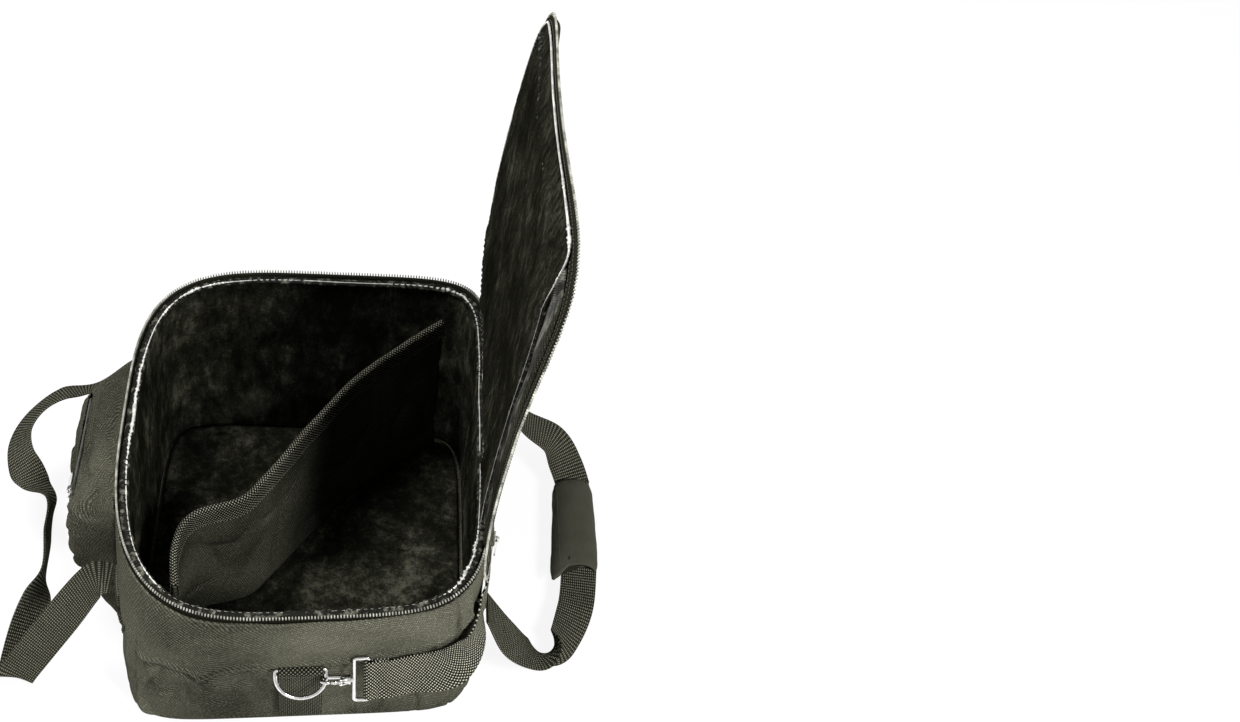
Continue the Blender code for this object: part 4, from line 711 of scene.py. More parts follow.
def gathered(degrees, places):
    """How hard the cord is gathered at each angle; places lists (angle, half width, strength)."""
    hard = np.zeros_like(degrees)
    for place, wide, strength in places:
        away = (degrees - place + 180.0) % 360.0 - 180.0
        hard = np.maximum(hard, strength * hump(away, wide))
    return hard


def bound_edge(name, body, route, line, sides, half_sizes, gathers, radius, fade):
    """A puckered tape along a route, and a pale cord of painted highlight along a line, thinner where it
    fades.
    """
    tape = swept(name + "_tape", route, sides, pucker_profile(route, *half_sizes), along=True)
    fitted(tape, BINDING, body, "binding", name)
    profile = highlight_cord_profile(line, gathers, radius) * (1 - fade)[:, None, None]
    fitted(swept(name + "_cord", line, sides, profile, along=True), HIGHLIGHT_CORD, body, "binding")


MOUTH_GATHERS = (
    (178.0, 9.0, 0.9), (146.0, 5.0, 0.6), (127.0, 6.0, 1.0), (113.0, 4.0, 0.5), (60.0, 8.0, 1.0),
    (44.0, 7.0, 0.8), (320.0, 10.0, 1.1), (304.0, 4.0, 0.7), (337.0, 6.0, 0.9), (228.0, 4.0, 0.4),
)


BINDING_INSET, BINDING_LIFT, HIGHLIGHT_CORD_INSET, HIGHLIGHT_CORD_LIFT = 0.0088, -0.0086, 0.0110, -0.0066


def mouth_binding():
    degrees = full_turn(1500)
    flat = wall_ring(degrees, 1.0, BINDING_INSET, -0.0085)
    route = wall_ring(degrees, 1.0, BINDING_INSET, BINDING_LIFT + 0.0005 * ripple(flat, 0.03, 6.0, 2))
    gathers = gathered(degrees, MOUTH_GATHERS)
    wander = 0.0012 * ripple(flat, 0.08, 14.0, 2) + 0.0016 * gathers * ripple(flat, 0.012, 9.0, 2)
    lift = HIGHLIGHT_CORD_LIFT + 0.0008 * gathers * ripple(flat, 0.009, 4.0, 2)
    line = wall_ring(degrees, 1.0, HIGHLIGHT_CORD_INSET + wander, lift)
    front = eased((degrees - 226.0) / 10.0) * eased((308.0 - degrees) / 10.0)
    sides, half_sizes = outward(degrees), (0.0050, 0.0024)
    bound_edge("rim_binding", "bag", route, line, sides, half_sizes, gathers, 0.0006, 0.8 * front)


mouth_binding()


# Lid: the same layers as the walls, hinged along the right side and standing open.
# A nylon field and a wide gusset meet at a seam; plush lines the field, and a zip runs round three edges.
AXIS = (0.184, 0.0, 0.2484)
LID_OPEN = 98.0
LID_LENGTH, LID_HALF_SPAN = 0.400, 0.25
LID_SQUARENESS = (5.1, 7.6, 2.7, 5.2)
LID_FRONT_SAG, LID_REAR_SAG, LID_BOW = 0.034, 0.008, 0.022
GUSSET_INSET, HINGE_INSET, LID_START, FAR_INSET = 0.048, 0.032, 0.00335, 0.012
TIP_INSET, TIP_ANGLE, TIP_SPREAD = 0.0215, 138.0, 24.0
GUSSET_EDGE, HINGE_EASE, EDGE_COVER = 0.0054, 0.3, 0.005
LID_PLACE = Matrix.Translation(AXIS) @ Matrix.Rotation(math.radians(LID_OPEN), 4, "Y")
LID_TURN = np.array(LID_PLACE.to_3x3())


def lid_outline(degrees, inset, hinge_inset):
    cosine, sine = np.cos(np.radians(degrees)), np.sin(np.radians(degrees))
    square = quadrant(LID_SQUARENESS, cosine, sine)
    near, far = -hinge_inset, inset - LID_LENGTH
    x = (near + far) / 2 + (near - far) / 2 * np.sign(cosine) * np.abs(cosine) ** (2 / square)
    return x, (LID_HALF_SPAN - inset) * np.sign(sine) * np.abs(sine) ** (2 / square)


def lid_sag(x, y):
    """How far the soft lid hangs in from flat."""
    out_share = np.clip(-x / LID_LENGTH, 0.0, 1.0)
    span_share = np.clip(y / LID_HALF_SPAN, -1.0, 1.0)
    arch = np.sqrt(4 * out_share * (1 - out_share) + 0.02) - math.sqrt(0.02)
    front = LID_FRONT_SAG * np.maximum(-span_share, 0) ** 2.5 * arch
    rear = LID_REAR_SAG * np.maximum(span_share, 0) ** 2.5 * arch
    return LID_BOW * out_share * (1 - span_share**2) + front + rear


def lid_wave(x, y):
    """Long soft folds that run out from the hinge and die away at the edges, with shorter swells between."""
    flat = np.stack([x * 0.45, y, np.zeros_like(x)], -1)
    inside = eased(np.minimum(x + LID_LENGTH, LID_HALF_SPAN - np.abs(y)) / 0.09)
    return (0.0034 * ripple(flat, 0.06, 40.0, 2) + 0.0009 * ripple(flat, 0.018, 7.0, 2)) * inside


def lid_points(x, y, lift):
    """Points of the open lid, at a height over its sagging, folded cloth."""
    flat = np.stack([x, y, lift - lid_sag(x, y) + lid_wave(x, y)], -1)
    return flat @ LID_TURN.T + np.array(AXIS)


def lid_ring(degrees, inset, lift, hinge_inset=None):
    degrees = np.asarray(degrees, float)
    x, y = lid_outline(degrees, inset, inset if hinge_inset is None else hinge_inset)
    return lid_points(x, y, lift * np.ones_like(x))


def seam_inset(degrees):
    """The gusset's width, which narrows round the tip of the lid."""
    return mix(GUSSET_INSET, TIP_INSET, hump(degrees - TIP_ANGLE, TIP_SPREAD))


def gusset_insets(degrees, share):
    inset = mix(GUSSET_EDGE, seam_inset(degrees), share)
    edge = mix(LID_START, GUSSET_EDGE, np.minimum(1.0, np.abs(np.sin(np.radians(degrees))) / HINGE_EASE))
    return inset, mix(edge, HINGE_INSET, share)


LID_DEGREES = full_turn(480)


def lid_disc(name, edge, shares, lift):
    """A layer of the lid from an edge in to the middle, its lift given by a function of (share, x, y)."""
    x0, y0 = edge
    middle = -LID_LENGTH / 2
    rows, flat = [], []
    for share in shares:
        x, y = middle + (x0 - middle) * share, y0 * share
        rows.append(lid_points(x, y, lift(share, x, y)))
        flat.append(np.stack([x, y], -1))
    return disc(name, rows, flat)


# The lid's nylon is a darker copy of the walls' cloth: painted shade on the lid's outer face, gusset and
# folds.
SHADED_LID_NYLON = woven_nylon("lid_nylon_painted_shade", 0.42)


def lid_field():
    edge = lid_outline(LID_DEGREES, seam_inset(LID_DEGREES), HINGE_INSET)
    field = lid_disc("lid_outer", edge, np.linspace(1.0, 0.0, 46)[:-1], lambda share, x, y: 0.0)
    fitted(thicken(field, SHELL), SHADED_LID_NYLON, "lid", "nylon", "lid_panel")


lid_field()
# The lid's pile is a darker copy of the lining's pile, which is painted shade; its streaks are drawn out
# further.
SHADED_LID_PILE = plush_pile("plush_pile_lid_painted_shade", (0.35, 0.35, 4.0), 0.65)
LINING_LIFT = -0.0006 - SHELL - FOAM - 0.0006
PILE_LIFT, PILE_THICKNESS = -0.0050, 0.0022


def pile_inset(degrees):
    """Where the plush ends: close to the zip, but drawn in along the front edge and near the hinge."""
    drawn_in = np.maximum(eased((degrees - 208.0) / 30.0), eased((78.0 - degrees) / 26.0))
    return mix(FAR_INSET, GUSSET_INSET, drawn_in), drawn_in


def lid_lining():
    inset, drawn_in = pile_inset(LID_DEGREES)
    edge = lid_outline(LID_DEGREES, inset, HINGE_INSET + EDGE_COVER)
    reach = np.hypot(edge[0] + LID_LENGTH / 2, edge[1])
    slope = GUSSET_INSET + 0.008 - inset
    full = LINING_LIFT - PLUSH + 0.0010

    def lift(share, x, y):
        thick = eased((1 - share) * reach / slope)
        tufts = 0.0018 * ripple(np.stack([x, y, 0 * x], -1), 0.02, 3.0, 3) * (0.15 + 0.85 * thick)
        return mix(mix(PILE_LIFT, full + 0.003, drawn_in), full, thick) + tufts

    pile = lid_disc("lid_lining_pile", edge, 1 - np.linspace(0.0, 1.0, 64)[:-1] ** 1.5, lift)
    fitted(thicken(pile, PILE_THICKNESS, 1.0), SHADED_LID_PILE, "lid", "plush", "lid_lining", "lid_foam")


lid_lining()


def lid_gusset():
    """The gusset lies in soft folds along the edge, and its cloth rolls out past the zip at the tip."""
    rows = []
    for share in np.linspace(0.0, 1.0, 30):
        inset, hinge_inset = gusset_insets(LID_DEGREES, share)
        folds = 0.0007 * np.sin(2 * math.pi * 2.6 * share) * np.sin(math.pi * share) ** 0.5
        away = np.minimum(1.0, np.abs(np.sin(np.radians(LID_DEGREES))) + 0.25)
        rolled = 0.0055 * hump(LID_DEGREES - 150.0, 14.0) * hump(share - 0.22, 0.2)
        rows.append(lid_ring(LID_DEGREES, inset, folds * away + rolled - 0.0006 * share, hinge_inset))
    gusset = surface("lid_gusset_cloth", rows, around=True)
    fitted(thicken(gusset, SHELL), SHADED_LID_NYLON, "lid", "nylon", "lid_gusset")


lid_gusset()


LID_OUT = LID_TURN[:, 2]
LID_TOOTH = (0.0013, 0.0028, 0.0024)


def lid_zip():
    degrees = np.linspace(*ZIP_SPAN, 1000)
    tape_lift = -SHELL - 0.0006
    rows = [lid_ring(degrees, inset, tape_lift) for inset in np.linspace(0.004, 0.0185, 5)]
    core = lid_ring(degrees, 0.0024, -SHELL)
    lid_coil = coil_finish("lid_zip_coil", (0.06, 0.06, 0.05), (0.38, 0.379, 0.32))
    zipped("lid_zip_tape_woven", rows, "lid_zip_coil", core, LID_OUT, LID_TOOTH, lid_coil, "lid", "lid_zip")
    for label, inset in (("outer", 0.0085), ("inner", 0.0150)):
        for face, lift in (("under", tape_lift - 0.0010), ("over", 0.0003)):
            stitched(f"lid_stitches_{label}_{face}", lid_ring(degrees, inset, lift), LID_OUT, "lid")


lid_zip()


LID_GATHERS = ((206.0, 2.5, 0.9), (201.0, 2.0, 0.6), (188.0, 1.5, 0.4), (222.0, 4.0, 0.5), (286.0, 6.0, 1.0))


def lid_binding():
    degrees = full_turn(1600)
    seam = seam_inset(degrees)
    route = lid_ring(degrees, seam + 0.0016, -0.0062, HINGE_INSET + 0.0016)
    sides = np.cross(ways(route, True), LID_OUT)
    gathers = gathered(degrees, LID_GATHERS)
    edge, drawn_in = pile_inset(degrees)
    wander = 0.0008 * ripple(route, 0.07, 14.0, 2) + 0.0012 * gathers * ripple(route, 0.010, 9.0, 2)
    line = lid_ring(degrees, edge + wander, mix(PILE_LIFT + 0.0004, -0.0102, drawn_in), HINGE_INSET + 0.001)
    half_sizes = (0.0024, 0.0042)
    bound_edge("lid_binding", "lid", route, line, sides, half_sizes, gathers, 0.0011, 0.85 * drawn_in)


lid_binding()


# Folds inside the lid's front edge: the gusset's slack lies there in two long ridges, one of plain
# nylon and one of coated lining cloth, which spreads over the corner and puckers where it is caught.
# The coated cloth's light tone is painted sheen: pale highlights on its ridges, over dark cloth.
SATIN_DARK_AND_HIGHLIGHT, SATIN_STRETCH = ((0.007, 0.007, 0.005), (0.20, 0.199, 0.16)), (0.7, 0.7, 5.0)
SATIN = coated_tape("coated_lining", *SATIN_DARK_AND_HIGHLIGHT, 0.35, 0.1, SATIN_STRETCH, (0.48, 0.76))


FOLD_LIFT, FOLD_END, FOLD_THICKNESS = -0.0030, 292.0, 0.0008


def edge_fold(name, finish, slot, first, outer, inner, high):
    """A ridge of cloth from its first angle to the fold's end, between two insets from the lid's edge."""
    degrees = np.linspace(first, FOLD_END, 260)
    rows = []
    for share in np.linspace(0.0, 1.0, 22):
        inset = mix(outer(degrees), inner(degrees), share)
        ridge = high * math.sin(math.pi * share) ** 0.8 * eased((degrees - first) / 14.0)
        ridge = ridge * (1 + 0.25 * ripple(lid_ring(degrees, inset, FOLD_LIFT), 0.05, 11.0, 2))
        caught = hump(degrees - 224.0, 8.0) * math.sin(math.pi * share)
        puckers = 0.0011 * np.sin(degrees * 5.2 + 3 * share) * caught
        rows.append(lid_ring(degrees, inset, FOLD_LIFT - ridge + puckers))
    fitted(thicken(surface(name, rows), FOLD_THICKNESS, 1.0), finish, "lid", slot)


def satin_edge(degrees):
    """Where the coated fold begins and the nylon one ends, as an inset from the lid's edge."""
    return mix(0.0190, 0.0320, eased((degrees - 228.0) / 22.0))


edge_fold("lid_fold_coated", SATIN, "binding", 209.0, satin_edge, lambda d: pile_inset(d)[0] + 0.001, 0.0048)
edge_fold("lid_fold_nylon", SHADED_LID_NYLON, "nylon", 231.0, lambda d: 0 * d + 0.0190, satin_edge, 0.0036)


# Hinge: a corded piping along the right side that the lid folds about.
# It is the walls' nylon, wrapped round a cord and caught in the seam.
PIPING_RADIUS, PIPING_TWIST = 0.0029, 0.006


def corded_piping():
    low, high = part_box("hinge_piping")
    y = np.linspace(low.y, high.y, 240)
    route = np.stack([np.full_like(y, AXIS[0]), y, np.full_like(y, AXIS[2])], -1)
    profile = circle(14) * (PIPING_RADIUS + 0.0001 * np.sin(y * 2 * math.pi / PIPING_TWIST))[:, None, None]
    cord = swept("hinge_piping_cord", route, (1.0, 0.0, 0.0), profile)
    fitted(cord, NYLON, "bag", "nylon", "hinge_piping")


corded_piping()


# Seats on the walls for what is sewn on there.
# They are found by looking level from outside at the fixed solids, or at the cloth over them.
SIDE_AXES = {"left": (-1, 0), "right": (1, 0), "front": (0, -1), "rear": (0, 1)}
SEAM_GAP = 0.0005


def tree_of(obj):
    mesh = obj.data
    mesh.calc_loop_triangles()
    triangles = [tuple(triangle.vertices) for triangle in mesh.loop_triangles]
    return BVHTree.FromPolygons([vertex.co for vertex in mesh.vertices], triangles)


SOLID_TREES = [tree_of(nodes[name]) for name in WALL_NODES]
CLOTH_TREE = tree_of(outer_walls)


def looked_at(trees, side, along, height):
    """Where a level look from this side of the bag meets each of the trees."""
    ax, ay = SIDE_AXES[side]
    start = (ax + (along if ay else 0.0), ay + (along if ax else 0.0), height)
    hits = [tree.ray_cast(start, (-ax, -ay, 0.0)) for tree in trees]
    return [hit for hit in hits if hit[0] is not None]


def wall_seat(side, along, height, gap=CLEARANCE):
    """A frame on a wall: X runs level, Y runs up the wall and Z points out of it."""
    hits = []
    for step in (-SEAM_GAP, 0.0, SEAM_GAP):
        hits += looked_at(SOLID_TREES, side, along, height + step)
    point, normal, _, _ = min(hits, key=lambda hit: hit[3])
    level = Vector((0.0, 0.0, 1.0)).cross(normal).normalized()
    seat = Matrix((level, normal.cross(level), normal)).transposed().to_4x4()
    seat.translation = point + normal * gap
    return seat


def laid(name, side, along, centre_height, width, length, thickness):
    """A flat piece that follows the cloth of the left or right wall."""
    grid = []
    for t in np.linspace(-0.5, 0.5, 26):
        row = []
        for s in np.linspace(-0.5, 0.5, 20):
            hit = looked_at([CLOTH_TREE], side, along + s * width, centre_height + t * length)[0]
            edge = hump((0.5 - abs(s)) * width, 0.0007) + hump((0.5 - abs(t)) * length, 0.0007)
            row.append(hit[0] + hit[1] * (thickness + CLEARANCE) * (1 - 0.35 * min(edge, 1.0)))
        grid.append(row)
    facing_out = np.array(grid)[:, :: SIDE_AXES[side][0]]
    return thicken(surface(name, facing_out, sharp=50), thickness)


# Carry handles: 38 mm nylon webbing, one loop sewn low on each of the two side walls.
# Woven in coarse ribs across; it hangs in the twists it was left in, each end tacked with a stitched box.
WEBBING_WIDTH, WEBBING_THICKNESS = 0.038, 0.0024
HANDLE_REACH, HANDLE_HALF_SPACING = 0.14, 0.15
LEFT_ROOT_HEIGHT, RIGHT_ROOT_HEIGHT = 0.150, 0.130
ANCHOR_LENGTH, PIVOT_OUT = 0.062, 0.0020
RIB_PITCH = 0.0034
LEFT_HANDLE_SHARES = (
    (0.0, 1.0, 1.0, 0, 1, 0),
    (0.14, 1.0, 0.94, 0, 1, 0),
    (0.44, 1.0, 0.76, 0, 0.88, -0.48),
    (0.69, 0.92, 0.76, -0.1, 0.9, -0.42),
    (0.88, 0.77, 0.72, -0.4, 0.7, -0.55),
    (0.98, 0.59, 0.65, -0.62, 0.5, -0.55),
    (0.95, 0.39, 0.61, -0.85, 0.3, -0.4),
    (0.82, 0.21, 0.56, -0.8, -0.35, 0.3),
    (0.68, 0.07, 0.53, 0, -0.72, 0.69),
    (0.66, -0.19, 0.45, 0, -0.72, 0.69),
    (0.65, -0.47, 0.37, 0.05, -0.7, 0.69),
    (0.68, -0.64, 0.29, -0.65, -0.5, 0.5),
    (0.75, -0.88, 0.14, -1, -0.1, 0.1),
    (0.79, -1.05, 0.035, -1, 0, 0),
    (0.78, -1.16, 0.07, -1, 0.1, 0),
    (0.7, -1.15, 0.2, -0.95, 0.2, 0.2),
    (0.4, -1.07, 0.62, -0.75, 0.5, 0.45),
    (0.16, -1.01, 0.95, -0.45, 0.85, 0.4),
    (0.06, -1.0, 1.0, -0.1, 1, 0.1),
    (0.0, -1.0, 1.0, 0, 1, 0),
)
RIGHT_HANDLE_SHARES = (
    (0.0, 1.0, 1.0, 0, 1, 0),
    (0.12, 1.0, 0.98, 0, 1, 0),
    (0.38, 0.97, 0.68, 0, 1, 0.1),
    (0.61, 0.95, 0.5, 0.45, 0.75, 0.2),
    (0.72, 0.86, 0.31, 0.9, 0.35, 0.2),
    (0.78, 0.74, 0.2, 1, 0, 0),
    (0.78, 0.69, 0.2, 1, 0, 0),
    (0.78, 0.32, 0.2, 1, 0, 0),
    (0.78, -0.04, 0.2, 1, 0, 0),
    (0.78, -0.1, 0.2, 1, 0, 0),
    (0.74, -0.4, 0.17, 0.97, 0.1, -0.1),
    (0.63, -0.68, 0.13, 0.75, 0.35, -0.5),
    (0.51, -0.84, 0.2, 0.3, 0.65, -0.7),
    (0.37, -0.93, 0.33, 0, 1, -0.1),
    (0.18, -1.0, 0.62, 0, 0.85, 0.5),
    (0.0, -1.0, 1.0, 0, 1, 0),
)


def webbing_finish(name, dark, light, lattice=False):
    """Coarse ribs across the webbing, or a slanting lattice, with bright floats of yarn on their crests."""
    web = Finish(name, Specular_IOR_Level=0.0)
    across, along = web.across()
    here = web.place()
    wander = web.noise(here, 260.0, 2.0) * 0.0007
    rib = (along + wander).wave(RIB_PITCH)
    if lattice:
        float_row = (along + across * 0.8 + wander).wave(RIB_PITCH)
        rib = (along - across * 0.8 + wander).wave(RIB_PITCH)
    else:
        float_row = (across + wander).wave(0.0022)
    weave = rib * 0.55 + float_row * 0.45
    speck = web.ramp(rib * float_row + web.noise(here, 900.0, 2.0) * 0.25, (0.38, 0.0), (0.85, 1.0))
    worn = web.noise(here, 26.0, 4.0)
    tone = web.blend(speck * (0.45 + worn), dark, light)
    return web.finish(tone, 0.6, weave, 0.0009, 1.0)


WEBBING = webbing_finish("tab_webbing", (0.008, 0.008, 0.0056), (0.17, 0.1695, 0.13), True)
STRAP_WEBBING = webbing_finish("strap_webbing", (0.010, 0.010, 0.007), (0.40, 0.399, 0.315), True)
PALE_WEBBING = webbing_finish("handle_webbing", (0.016, 0.016, 0.0112), (0.165, 0.1645, 0.127))


def smooth_route(points, steps):
    """Points of a smooth curve through the given ones, with this many steps between two of them."""
    known = np.array(points, float)
    padded = np.vstack([2 * known[0] - known[1], known, 2 * known[-1] - known[-2]])
    route = []
    for a, b, c, d in zip(padded, padded[1:], padded[2:], padded[3:]):
        for t in np.arange(steps) / steps:
            cubic = (2 * a - 5 * b + 4 * c - d) * t**2 + (3 * b - a - 3 * c + d) * t**3
            route.append(0.5 * (2 * b + (c - a) * t + cubic))
    return np.array([*route, known[-1]])


def webbing_profile(width, thickness):
    """A flat section with rounded selvages."""
    half, thin = width / 2, thickness / 2
    edge = ((0.0, 0.45), (0.35, 0.85), (1.0, 1.0))
    quarter = [(half - inward * thin, out * thin) for inward, out in edge]
    quarter += [(half * share, thin) for share in (0.66, 0.33)]
    top = quarter + [(0.0, thin)] + [(-x, y) for x, y in quarter[::-1]]
    return top + [(x, -y) for x, y in top[::-1]]


def webbing_loop(name, route, turns, width, thickness):
    """Webbing along a route, its width turned towards each of the turns."""
    return swept(name + "_webbing", route, turns, webbing_profile(width, thickness), sharp=60)


def handle_places(side, shares, root_height):
    """Where the webbing of a handle goes, from its rear root to its front one."""
    roots = [wall_seat(side, end * HANDLE_HALF_SPACING, root_height) for end in (-1, 1)]
    reach, along, up = np.array(shares)[:, :3].T
    out = max(abs(root.translation.x) for root in roots) + PIVOT_OUT + WEBBING_THICKNESS
    x = SIDE_AXES[side][0] * (out + reach * HANDLE_REACH)
    return np.stack([x, along * HANDLE_HALF_SPACING, root_height * up], -1)


def handle(side, shares, root_height):
    route = smooth_route(handle_places(side, shares, root_height), 16)
    turns = smooth_route(np.array(shares)[:, 3:], 16)
    name = side + "_handle"
    loop = webbing_loop(name, route, turns, WEBBING_WIDTH, WEBBING_THICKNESS)
    fitted(loop, PALE_WEBBING, name, "webbing", name)
    middle = root_height - (ANCHOR_LENGTH + WEBBING_THICKNESS) / 2 - 2 * CLEARANCE
    for end, label in ((-1, "front"), (1, "rear")):
        name, where = f"{side}_handle_anchor_{label}", (side, end * HANDLE_HALF_SPACING, middle)
        anchor = laid(name + "_webbing", *where, WEBBING_WIDTH, ANCHOR_LENGTH, WEBBING_THICKNESS)
        fitted(anchor, PALE_WEBBING, "bag", "webbing", name)
        box_stitches(name, *where, WEBBING_WIDTH - 0.008, ANCHOR_LENGTH - 0.010)


def box_stitches(name, side, along, height, width, length):
    """A box with a cross inside it, sewn through webbing into the wall."""
    box = [(-0.5, -0.5), (0.5, -0.5), (0.5, 0.5), (-0.5, 0.5), (-0.5, -0.5)]
    corners = np.array(box + [(0.5, 0.5), (0.5, -0.5), (-0.5, 0.5)]) * (width, length)
    route, normals = [], []
    for start, end in zip(corners, corners[1:]):
        for t in np.linspace(0.0, 1.0, 24)[:-1]:
            s, h = mix(start, end, t)
            hit = looked_at([CLOTH_TREE], side, along + s, height + h)[0]
            route.append(hit[0] + hit[1] * (WEBBING_THICKNESS + CLEARANCE + THREAD_RADIUS / 2))
            normals.append(hit[1])
    stitched(name + "_stitches", np.array(route), np.array(normals), slot="webbing")


handle("left", LEFT_HANDLE_SHARES, LEFT_ROOT_HEIGHT)
handle("right", RIGHT_HANDLE_SHARES, RIGHT_ROOT_HEIGHT)


# Comfort wrap: a soft rubbery sheet rolled round the right handle and closed on itself.
# Its outer flap ends free, flares off the roll at the lower end, and a stitched line runs down its side.
GRIP_STATION = 7
WRAP_LENGTH, WRAP_HALF_WIDTH, WRAP_HALF_HEIGHT = 0.105, 0.0225, 0.017
WRAP_SHEET = 0.0032


def wrap_finish():
    rubber = Finish("neoprene_wrap", Specular_IOR_Level=0.03)
    along, up = rubber.across()
    here = rubber.place()
    knit = along.wave(0.0012) * 0.5 + up.wave(0.0010) * 0.5
    cloud = rubber.noise(here, 30.0, 4.0)
    level = rubber.ramp(knit * 0.5 + cloud * 0.6, (0.25, 0.0), (0.9, 1.0))
    tone = rubber.blend(level, (0.034, 0.034, 0.0245), (0.070, 0.0698, 0.053))
    return rubber.finish(tone, 0.78, knit + rubber.noise(here, 900.0, 2.0) * 0.4, 0.0004, 0.6)


def grip_wrap():
    middle = handle_places("right", RIGHT_HANDLE_SHARES, RIGHT_ROOT_HEIGHT)[GRIP_STATION]
    turn = np.radians(np.linspace(150.0, 150.0 + 395.0, 90))
    out = np.stack([np.cos(turn), 0 * turn, np.sin(turn)], -1)
    over = np.linspace(0.0, 1.0, len(turn))
    lap = 0.0030 * np.clip((over - 0.80) / 0.2, 0.0, 1.0) ** 1.2
    rows = []
    for t in np.linspace(0.0, 1.0, 44):
        y = mix(WRAP_LENGTH / 2 + 0.0075, -WRAP_LENGTH / 2 - 0.0105, t)
        size = (1 + 0.03 * math.sin(math.pi * t)) * (1 - 0.10 * (hump(t, 0.06) + hump(1 - t, 0.05)))
        flare = 0.0080 * np.clip((over - 0.84) / 0.16, 0.0, 1.0) ** 2 * t**2
        open_by = lap + flare - WRAP_SHEET
        half_x, half_z = WRAP_HALF_WIDTH * size + open_by, WRAP_HALF_HEIGHT * size + open_by
        tongue = 0.0110 * eased((over - 0.85) / 0.12) * t**5
        point = middle + np.stack([half_x * np.cos(turn), y - tongue, half_z * np.sin(turn)], -1)
        rows.append(point + out * 0.0007 * ripple(point, 0.022, 3.0, 2)[:, None])
    grid = np.array(rows)
    roll = thicken(surface("grip_wrap_roll", grid, sharp=60), WRAP_SHEET, 0.0)
    fitted(roll, wrap_finish(), "right_handle", "wrap", "grip_wrap")
    line = grid[2:-2, -9] + out[-9] * (WRAP_SHEET / 2 + 0.0001)
    stitched("grip_wrap_stitches", line, out[-9], "right_handle", "wrap")


grip_wrap()


# Divider: a padded nylon flap that stands across the bag and lifts out.
# Its wavy top edge is folded into coarse webbing, stitched through on both sides.
DIVIDER_THICKNESS = 0.004
DIVIDER_SHARES = (
    (0.74, 0.82, 0.83),
    (0.5, 0.66, 0.8),
    (0.25, 0.46, 0.77),
    (0.0, 0.16, 0.74),
    (-0.22, -0.12, 0.71),
    (-0.34, -0.24, 0.69),
    (-0.6, -0.33, 0.67),
    (-0.69, -0.48, 0.63),
    (-0.66, -0.69, 0.6),
)
DIVIDER_WEBBING = 0.021


def divider():
    scale = (MOUTH_REACH[0], MOUTH_REACH[2], BAG_HEIGHT)
    top = smooth_route(np.array(DIVIDER_SHARES) * scale, 16)
    level = unit(np.cross((0.0, 0.0, 1.0), ways(top)))
    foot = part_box("divider")[0].z
    rows = []
    for share in np.linspace(0.0, 1.0, 60):
        row = top.copy()
        row[:, 2] = mix(foot, top[:, 2], share)
        middle = math.sin(math.pi * min(1.0, share * 1.15) / 1.15)
        wave = 0.0035 * ripple(row * (1, 1, 0.6), 0.06, 17.0, 2) * middle
        crease = ripple(row * (1, 1, 0.8), 0.075, 44.0, 2)
        wave += (0.0050 * crease - 0.0046 * hump(crease, 0.10)) * math.sin(math.pi * share**0.8)
        rows.append(row + level * (wave + DIVIDER_THICKNESS / 2)[:, None])
    grid = np.array(rows)
    panel = thicken(surface("divider_cloth", grid), DIVIDER_THICKNESS, 0.0)
    # The divider's nylon is a darker copy of the walls' cloth: painted shade inside the bag.
    fitted(panel, woven_nylon("divider_nylon_painted_shade", 0.65), "divider", "nylon", "divider")
    thin, deep, wall = DIVIDER_THICKNESS / 2 + 0.0007, DIVIDER_WEBBING, 0.0011
    outer = [(-deep * share, thin + wall) for share in (1.0, 0.6, 0.3, 0.0)]
    outer += [(0.0022, thin * 0.8), (0.0030, 0.0)]
    inner = [(-deep * share, thin) for share in (1.0, 0.3, 0.0)] + [(0.0010, 0.0)]
    outer, inner = (half + [(a, -b) for a, b in half[-2::-1]] for half in (outer, inner))
    crest = grid[-1] + (0.0, 0.0, 0.0012)
    cap = swept("divider_webbing", crest, (0.0, 0.0, 1.0), outer + inner[::-1], sharp=60)
    edging = webbing_finish("divider_webbing", (0.004, 0.004, 0.003), (0.22, 0.219, 0.172), True)
    fitted(cap, edging, "divider", "binding", "divider_binding")
    for label, sign in (("inner", 1), ("outer", -1)):
        row = grid[-1] - (0.0, 0.0, deep - 0.004) + level * sign * (thin + wall + STITCH_STAND)
        stitched("divider_stitches_" + label, row, level * sign, "divider", "binding")


divider()


# Metal fittings: D-rings on folded webbing tabs, swivel snap hooks with sprung gates, the strap's end loops.
# Bright plated wire and castings, a little rubbed; a hook turns on its headed pin and its gate springs shut.
WIRE = 0.002
RING_TAB_WIDTH, RING_HEIGHT, RING_TAB_FOOT, RING_CENTRE_X = 0.044, 0.126, 0.018, 0.007
RING_FOLD, RING_TAB_THICKNESS = 0.0048, 0.0022
RING_HALF_WIDTH = RING_TAB_WIDTH / 2 + WIRE + 2 * CLEARANCE
RING_CORNER, RING_SIDE, RING_DEPTH, RING_TILT, EYE_TILT = WIRE, 0.008, 0.030, 40.0, 20.0
HOOK_REACH, HOOK_DROP, HOOK_HALF_HEIGHT, HOOK_BOW_CENTRE, HOOK_NOSE = 0.0211, 0.012, 0.006, 0.020, 0.017
COLLAR_RADIUS, COLLAR_BACK, COLLAR_FRONT = 0.005, 0.005, 0.003
PIN_RADIUS, PIN_HEAD, PIN_HEAD_LENGTH = 0.0016, 0.00255, 0.002
GATE_BACK, GATE_PIN, GATE_BOSS, GATE_HALF_THICKNESS, GATE_HALF_HEIGHT = 0.007, 0.001, 0.0021, 0.0015, 0.0013
EAR_THICKNESS = 0.0012
EAR_MIDDLE = GATE_HALF_THICKNESS + CLEARANCE + EAR_THICKNESS / 2
STRAP_WIDTH, STRAP_THICKNESS = 0.050, 0.0022
EYE_HALF_HEIGHT = STRAP_WIDTH / 2 + WIRE + 3 * CLEARANCE
EYE_SHOULDER = COLLAR_FRONT + CLEARANCE
EYE_START = EYE_SHOULDER + 1.5 * WIRE
EYE_BAR = EYE_START + 0.014


